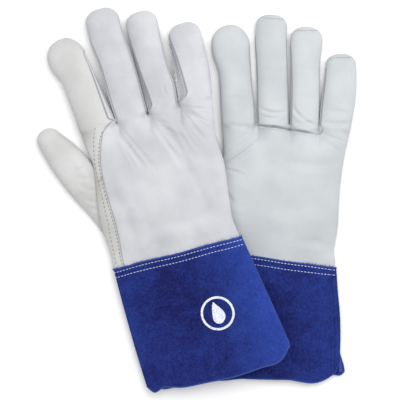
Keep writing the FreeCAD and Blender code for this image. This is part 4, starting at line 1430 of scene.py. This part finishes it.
def right_glove(finishes: Finishes) -> RightGlove:
    """The right glove's sizes."""
    fingers = (
        Digit("index", ((-39.7, 127, 17.1, 14), (-42.2, 144, 16.0, 13.8), (-44.6, 161, 15.5, 13.4),
                        (-47.2, 177, 15.2, 13), (-51.6, 191, 17.3, 12.4), (-49.6, 209.4, 15.2, 11)),
              Leaf(), Leaf(50, 30, LeafShape.TAPER, ends=0.8), droop=0.76, dome=16, blunt=2.05),
        Digit("middle", ((-7.9, 127, 14.4, 14), (-8.6, 144, 15.0, 14), (-9.2, 160, 15.1, 13.6),
                         (-10.6, 182, 14.9, 13), (-13.2, 204, 15.2, 12.4),
                         (-12.9, 226.6, 14.8, 11)),
              Leaf(30, 20, LeafShape.FULL), Leaf(12, 30), droop=4.52, dome=12),
        Digit("ring", ((21.0, 127, 13.5, 14), (21.3, 143, 14.1, 14), (20.4, 159, 13.6, 13.5),
                       (19.8, 178, 13.6, 13), (19.4, 200, 14.2, 12.2), (19.6, 215.3, 14.2, 11)),
              Leaf(62, 20, LeafShape.TAPER, 0.12, 0.94), Leaf(12, 30), droop=9.04, dome=12),
        Digit("little", ((50.9, 127, 14.9, 14), (52.4, 142, 15.3, 14), (53.5, 157, 15.2, 13.4),
                         (53.6, 170, 14.9, 12.8), (53.2, 182, 14.6, 12), (52.9, 195.8, 14.4, 11)),
              Leaf(78, 20, LeafShape.LEAF, 0.3, 0.95), Leaf(), droop=16.93, dome=12.5),
    )
    thumb = Digit("thumb", ((-49.5, 8, 8.5, 4.5), (-52.5, 28, 8.0, 5.5), (-57, 50, 10.8, 7.5),
                            (-62.2, 68, 14.2, 10), (-68.6, 86, 15.9, 12.4),
                            (-79.7, 111.2, 14.3, 13.4), (-85.8, 123.5, 11.6, 12),
                            (-90.4, 135.0, 9.8, 10.5)),
                  dome=10.5, square_base=False)
    hand = Hand(((-12, -56, 54), (0, -58.9, 57.0), (14, -58.6, 55.4), (38, -59.7, 57.6),
                 (52, -59.0, 59.6), (68, -56.7, 61.0), (84, -54.0, 60.3), (93, -52.8, 60.2),
                 (107, -54.5, 62.4), (127, -56.8, 65.8)), fingers)
    cuff = Cuff(
        ((0, -59.4, 59.2), (-40, -59.4, 65.4), (-80, -58.8, 71.4), (-112, -57.6, 76.0)),
        ((-59, -0.4), (-30, 0.5), (0, -0.3), (30, 0.4), (59, -0.2)),
        ((-57.6, -108.5), (-52.5, -114.3), (-42.5, -112.6), (-25.5, -116.4), (-3, -117.2),
         (21.5, -118), (45, -116), (68, -111.5), (75.6, -103.5)),
        ((-57.6, -106), (-50, -112), (-20, -114), (20, -115.5), (50, -114), (70, -109),
         (75.6, -101)),
    )
    creases = (
        *pleats((-19, 121, -12, 108, 4, 74, 0.35, 1.0), (-23, 118, -21, 100, -16, 84, 0.3, 1.1), 6),
        *pleats((10, 121.5, 24, 121, 38, 114.5, 0.34, 0.8),
                (8.5, 117, 17, 98, 24, 72, 0.42, 1.3), 12),
        *pleats((40, 121.5, 50, 119, 63, 115, 0.34, 0.8), (38, 118, 42, 104, 54, 82, 0.42, 1.2), 9),
        *pleats((34, 118, 34, 104, 44, 84, 0.3, 0.9), (30, 112, 30, 98, 38, 72, 0.3, 1.2), 4),
        *folds(
            (-20, 119, -16, 100, -8, 82, 0.5, 2.2), (14, 118, 20, 106, 32, 84, 0.75, 2.4),
            (20, 117, 30, 106, 40, 92, -0.5, 2.6), (42, 119, 48, 108, 60, 94, 0.7, 2.2),
            (28, 146, 24, 138, 33, 131, 0.6, 1.1), (18, 136, 25, 132, 34, 137, 0.5, 1.1),
            (19, 128, 26, 127, 34, 131, 0.45, 1.0), (40, 90, 10, 74, -20, 80, 0.5, 5.0),
            (52, 60, 30, 42, -10, 46, 0.5, 6.0), (20, 92, 34, 70, 38, 30, 0.45, 4.0),
            (-38, 60, -30, 40, -34, 14, 0.6, 4.5), (-20, 30, 4, 22, 44, 26, 0.6, 5.0),
            (-22, 166, -12, 170, 2, 165, 0.2, 2.6), (-57, 158, -46, 161, -33, 156, 0.15, 3.0),
            (42, 158, 54, 162, 66, 156, 0.25, 2.2), (-74, 95, -68, 91, -60, 94, 0.5, 1.3),
            (-72, 88, -66, 82, -58, 84, 0.55, 1.3), (-70, 80, -64, 72, -58, 72, 0.7, 1.5),
            (-68, 66, -62, 60, -57, 62, 0.6, 1.3), (-66, 58, -62, 53, -57, 54, 0.5, 1.2),
            (-62, 106, -57, 92, -55, 74, 1.3, 3.2), (-92, 116, -84, 119, -74, 117, 0.25, 2.6),
        ),
    )
    return RightGlove(
        Side.RIGHT, fingers, thumb, hand, cuff, creases, -8.55, finishes, False,
        panel_edge=((-49, -12), (-48.3, 9), (-46.4, 23), (-45.3, 41), (-45.9, 60), (-45.6, 85),
                    (-44.6, 93), (-41.4, 104), (-38.3, 112.4), (-33.1, 121), (-24, 127)),
        outer_row=((-55.6, 3), (-54.3, 21), (-52.4, 38.5), (-51.3, 56.5), (-50.8, 79), (-50.6, 90),
                   (-48.6, 101.4), (-45.2, 114), (-41.4, 123), (-39.4, 126.6)),
    )


def left_glove(finishes: Finishes) -> LeftGlove:
    """The left glove's sizes."""
    fingers = (
        Digit("index", ((-35.0, 127, 15.0, 14), (-36.7, 144, 15.0, 14), (-38.7, 158.5, 14.5, 13.6),
                        (-40.8, 173, 14.6, 13), (-45.4, 195, 17.0, 12.2), (-44.4, 213.4, 15.0, 11)),
              Leaf(), Leaf(16, 30), dome=16, blunt=2.05),
        Digit("middle", ((-3.8, 127, 13.7, 14), (-5.3, 146, 13.9, 14), (-6.4, 162, 13.8, 13.5),
                         (-8.2, 184, 13.8, 13), (-9.9, 203, 14.1, 12.2), (-9.6, 224, 13.8, 11)),
              Leaf(14, 26), Leaf(16, 30), dome=11.5, blunt=2.4),
        Digit("ring", ((23.8, 127, 12.7, 14), (23.4, 146, 12.8, 14), (22.7, 164, 12.9, 13.5),
                       (21.7, 186, 13.2, 13), (21.8, 199, 14.3, 12.2), (21.0, 214.8, 13.6, 11)),
              Leaf(20, 26), Leaf(14, 30), dome=11.5, blunt=2.4),
        Digit("little", ((51.0, 127, 14.1, 14), (52.2, 143, 14.8, 14), (53.5, 158, 14.8, 13.4),
                         (53.8, 170, 14.2, 12.8), (53.6, 181, 13.6, 12), (52.6, 192.4, 13.2, 11)),
              Leaf(20, 26), Leaf(), dome=11),
    )
    thumb = Digit("thumb", ((-46, 20, 9, 4), (-50, 45, 11, 5.5), (-54, 66, 13.5, 8),
                            (-60, 88, 14.5, 9.6), (-68, 112, 13.8, 10.3),
                            (-73.5, 130, 12, 9.5), (-77.5, 143.5, 10.5, 8.5)),
                  dome=10.5, square_base=False)
    hand = Hand(((-12, -55, 54), (0, -58.3, 56.4), (8, -58.5, 57.6), (16, -58.6, 56.0),
                 (27, -58.8, 57.0), (38, -58.4, 58.1), (58, -56, 58.0), (79, -51, 58.6),
                 (94, -47.2, 59.8), (108, -47.4, 61.6), (127, -50.0, 65.1)), fingers)
    cuff = Cuff(
        ((0, -59.4, 59.0), (-26, -59.6, 61.6), (-50, -60, 64.4), (-72, -60.5, 65.9),
         (-104, -61, 66.5)),
        ((-59, 7.4), (-40, 9.3), (-18, 9.4), (17, 5.9), (40, 4.2), (59, 2.1)),
        ((-61, -92), (-52, -99.5), (-17, -100.6), (20, -99.6), (50.7, -99.4), (58.5, -94.6),
         (65, -86.5), (66.4, -82)),
        ((-61, -88), (-50, -96), (-10, -98), (40, -97), (58, -93.6), (64, -93.2), (66.4, -90.5)),
        rows=84, ridge=1.0, flare=5.0,
    )
    creases = (
        *folds(
            (-20.6, 126.0, -13, 123.6, -2.6, 124.2, 2.4, 0.8),
            (-6.0, 124.3, 4, 123.6, 13, 121.9, 2.4, 0.8),
            (9, 122.6, 22, 121.6, 35.0, 119.4, 2.4, 0.8),
            (33.5, 119.5, 40.8, 119.4, 38.8, 126.6, 2.0, 0.8),
            (38.6, 124.6, 36.0, 126.4, 35.2, 123.0, 0.9, 0.7),
            (10.2, 126.9, 10.4, 125, 10.8, 122.2, 2.4, 0.6),
            (-19, 127.2, -3, 127.6, 8, 125.9, -0.8, 1.5),
            (12.5, 125.6, 23, 124.6, 33, 123.4, -0.8, 1.5),
        ),
        *pleats((-18, 119, -26, 108, -44, 92, 0.28, 0.9),
                (-22, 122, -34, 115, -47, 104, 0.2, 0.9), 5),
        *pleats((40, 121, 50, 117, 64, 116, 0.3, 0.9), (38, 116, 46, 106, 60, 98, 0.3, 1.1), 5),
        *folds(
            (-21.5, 217, -9.6, 223, 2.5, 217, 0.65, 0.75),
            (9.5, 208, 21.2, 214, 33, 208, 0.65, 0.75),
            (41, 186, 52.8, 192, 64.5, 186, 0.65, 0.75), (-18, 114, -31, 99, -48, 91, 1.0, 1.2),
            (-20, 110, -32, 95, -46, 87, -0.5, 2.2), (-17, 140, -5, 133.5, 8, 138.5, 0.95, 1.5),
            (-16, 134, -8, 131, 2, 133, 0.5, 1.1), (11.5, 145, 17, 131, 35, 127, 1.0, 1.5),
            (14, 134, 22, 130, 30, 133, -0.5, 2.0), (14, 150, 24, 153, 35, 149, 0.35, 2.2),
            (38, 140, 52, 143, 66, 137, 0.5, 2.2), (39, 131, 50, 128, 64, 131, 0.6, 1.8),
            (-50, 146, -38, 149, -24, 144, 0.4, 2.0), (-46, 126, -36, 121, -26, 124, 0.45, 1.8),
            (-46, 84, -36, 84, -28, 80, 0.7, 1.3), (-47, 66, -40, 62, -36, 55, 0.7, 1.6),
            (56, 96, 30, 88, 6, 96, 0.5, 3.6), (50, 60, 20, 44, -6, 50, 0.45, 5.5),
            (20, 22, 38, 28, 54, 20, 0.5, 3.4), (-22, 172, -8, 175, 5, 171, 0.3, 2.4),
            (8, 176, 22, 179, 34, 175, 0.3, 2.4), (-54, 178, -42, 181, -29, 176, 0.3, 2.4),
        ),
    )
    return LeftGlove(Side.LEFT, fingers, thumb, hand, cuff, creases, -6.05, finishes, True)


# ---------------------------------------------------------------- studio


@dataclass
class Studio:
    """A white table, soft lights and a camera that looks straight down."""

    left: GloveFrame
    view_wide: float = 353.2
    lens: float = 120.0
    aim: tuple[float, float] = (-62.3, 59.4)

    def build(self) -> None:
        """Makes the floor, the lights, the background and the camera."""
        self.floor()
        self.lights()
        self.camera()

    def floor(self) -> None:
        """A wide white table top."""
        bpy.ops.mesh.primitive_plane_add(size=6)
        floor = bpy.context.object
        floor.name = "table_top"
        material, _, shader = new_material("laminate_white_matt")
        set_sockets(shader, Base_Color=linear("#FAFAFA"), Roughness=0.9, Specular_IOR_Level=0.1)
        floor.data.materials.append(material)

    def lights(self) -> None:
        """A broad softbox overhead, a low rim light from the right and a white surround."""
        # name, place in m, width in m and power in W
        lamps = (("softbox", (0.12, 0.34, 1.5), 1.7, 26.5), ("rim", (0.9, 0.4, 0.6), 0.5, 1.9))
        for name, spot, wide, power in lamps:
            light = bpy.data.lights.new(name, "AREA")
            light.energy, light.size = power, wide
            lamp = bpy.data.objects.new(name, light)
            bpy.context.scene.collection.objects.link(lamp)
            lamp.location = spot
            way = -np.array(spot)
            tilt = math.atan2(math.hypot(way[0], way[1]), -way[2])
            lamp.rotation_euler = (tilt, 0, math.atan2(way[1], way[0]) - HALF_PI)
        world = bpy.data.worlds.new("surround")
        bpy.context.scene.world = world
        world.use_nodes = True
        set_sockets(world.node_tree.nodes["Background"], Color=linear("#FFFFFF"), Strength=0.4)
        bpy.context.scene.view_settings.view_transform = "Standard"

    def camera(self) -> None:
        """Looks straight down from the height at which view_wide mm fill the frame."""
        far = self.view_wide * MM * self.lens / SENSOR_WIDE
        spot = self.left.origin + np.array([self.aim[0], self.aim[1], 0]) * MM
        data = bpy.data.cameras.new("camera")
        data.lens = self.lens
        camera = bpy.data.objects.new("camera", data)
        bpy.context.scene.collection.objects.link(camera)
        camera.location = (spot[0], spot[1], far + HAND_HIGH * MM)
        bpy.context.scene.camera = camera


def main() -> None:
    """Builds the two gloves and the studio."""
    logging.basicConfig(level=logging.INFO, format="%(name)s: %(message)s")
    finishes = Finishes.made()
    left = left_glove(finishes)
    right = right_glove(finishes)
    for glove in (left, right):
        glove.build()
        log.info("%s glove: %d pieces", glove.tag, glove.maker.count)
    Studio(left.place).build()


if __name__ == "__main__":
    main()
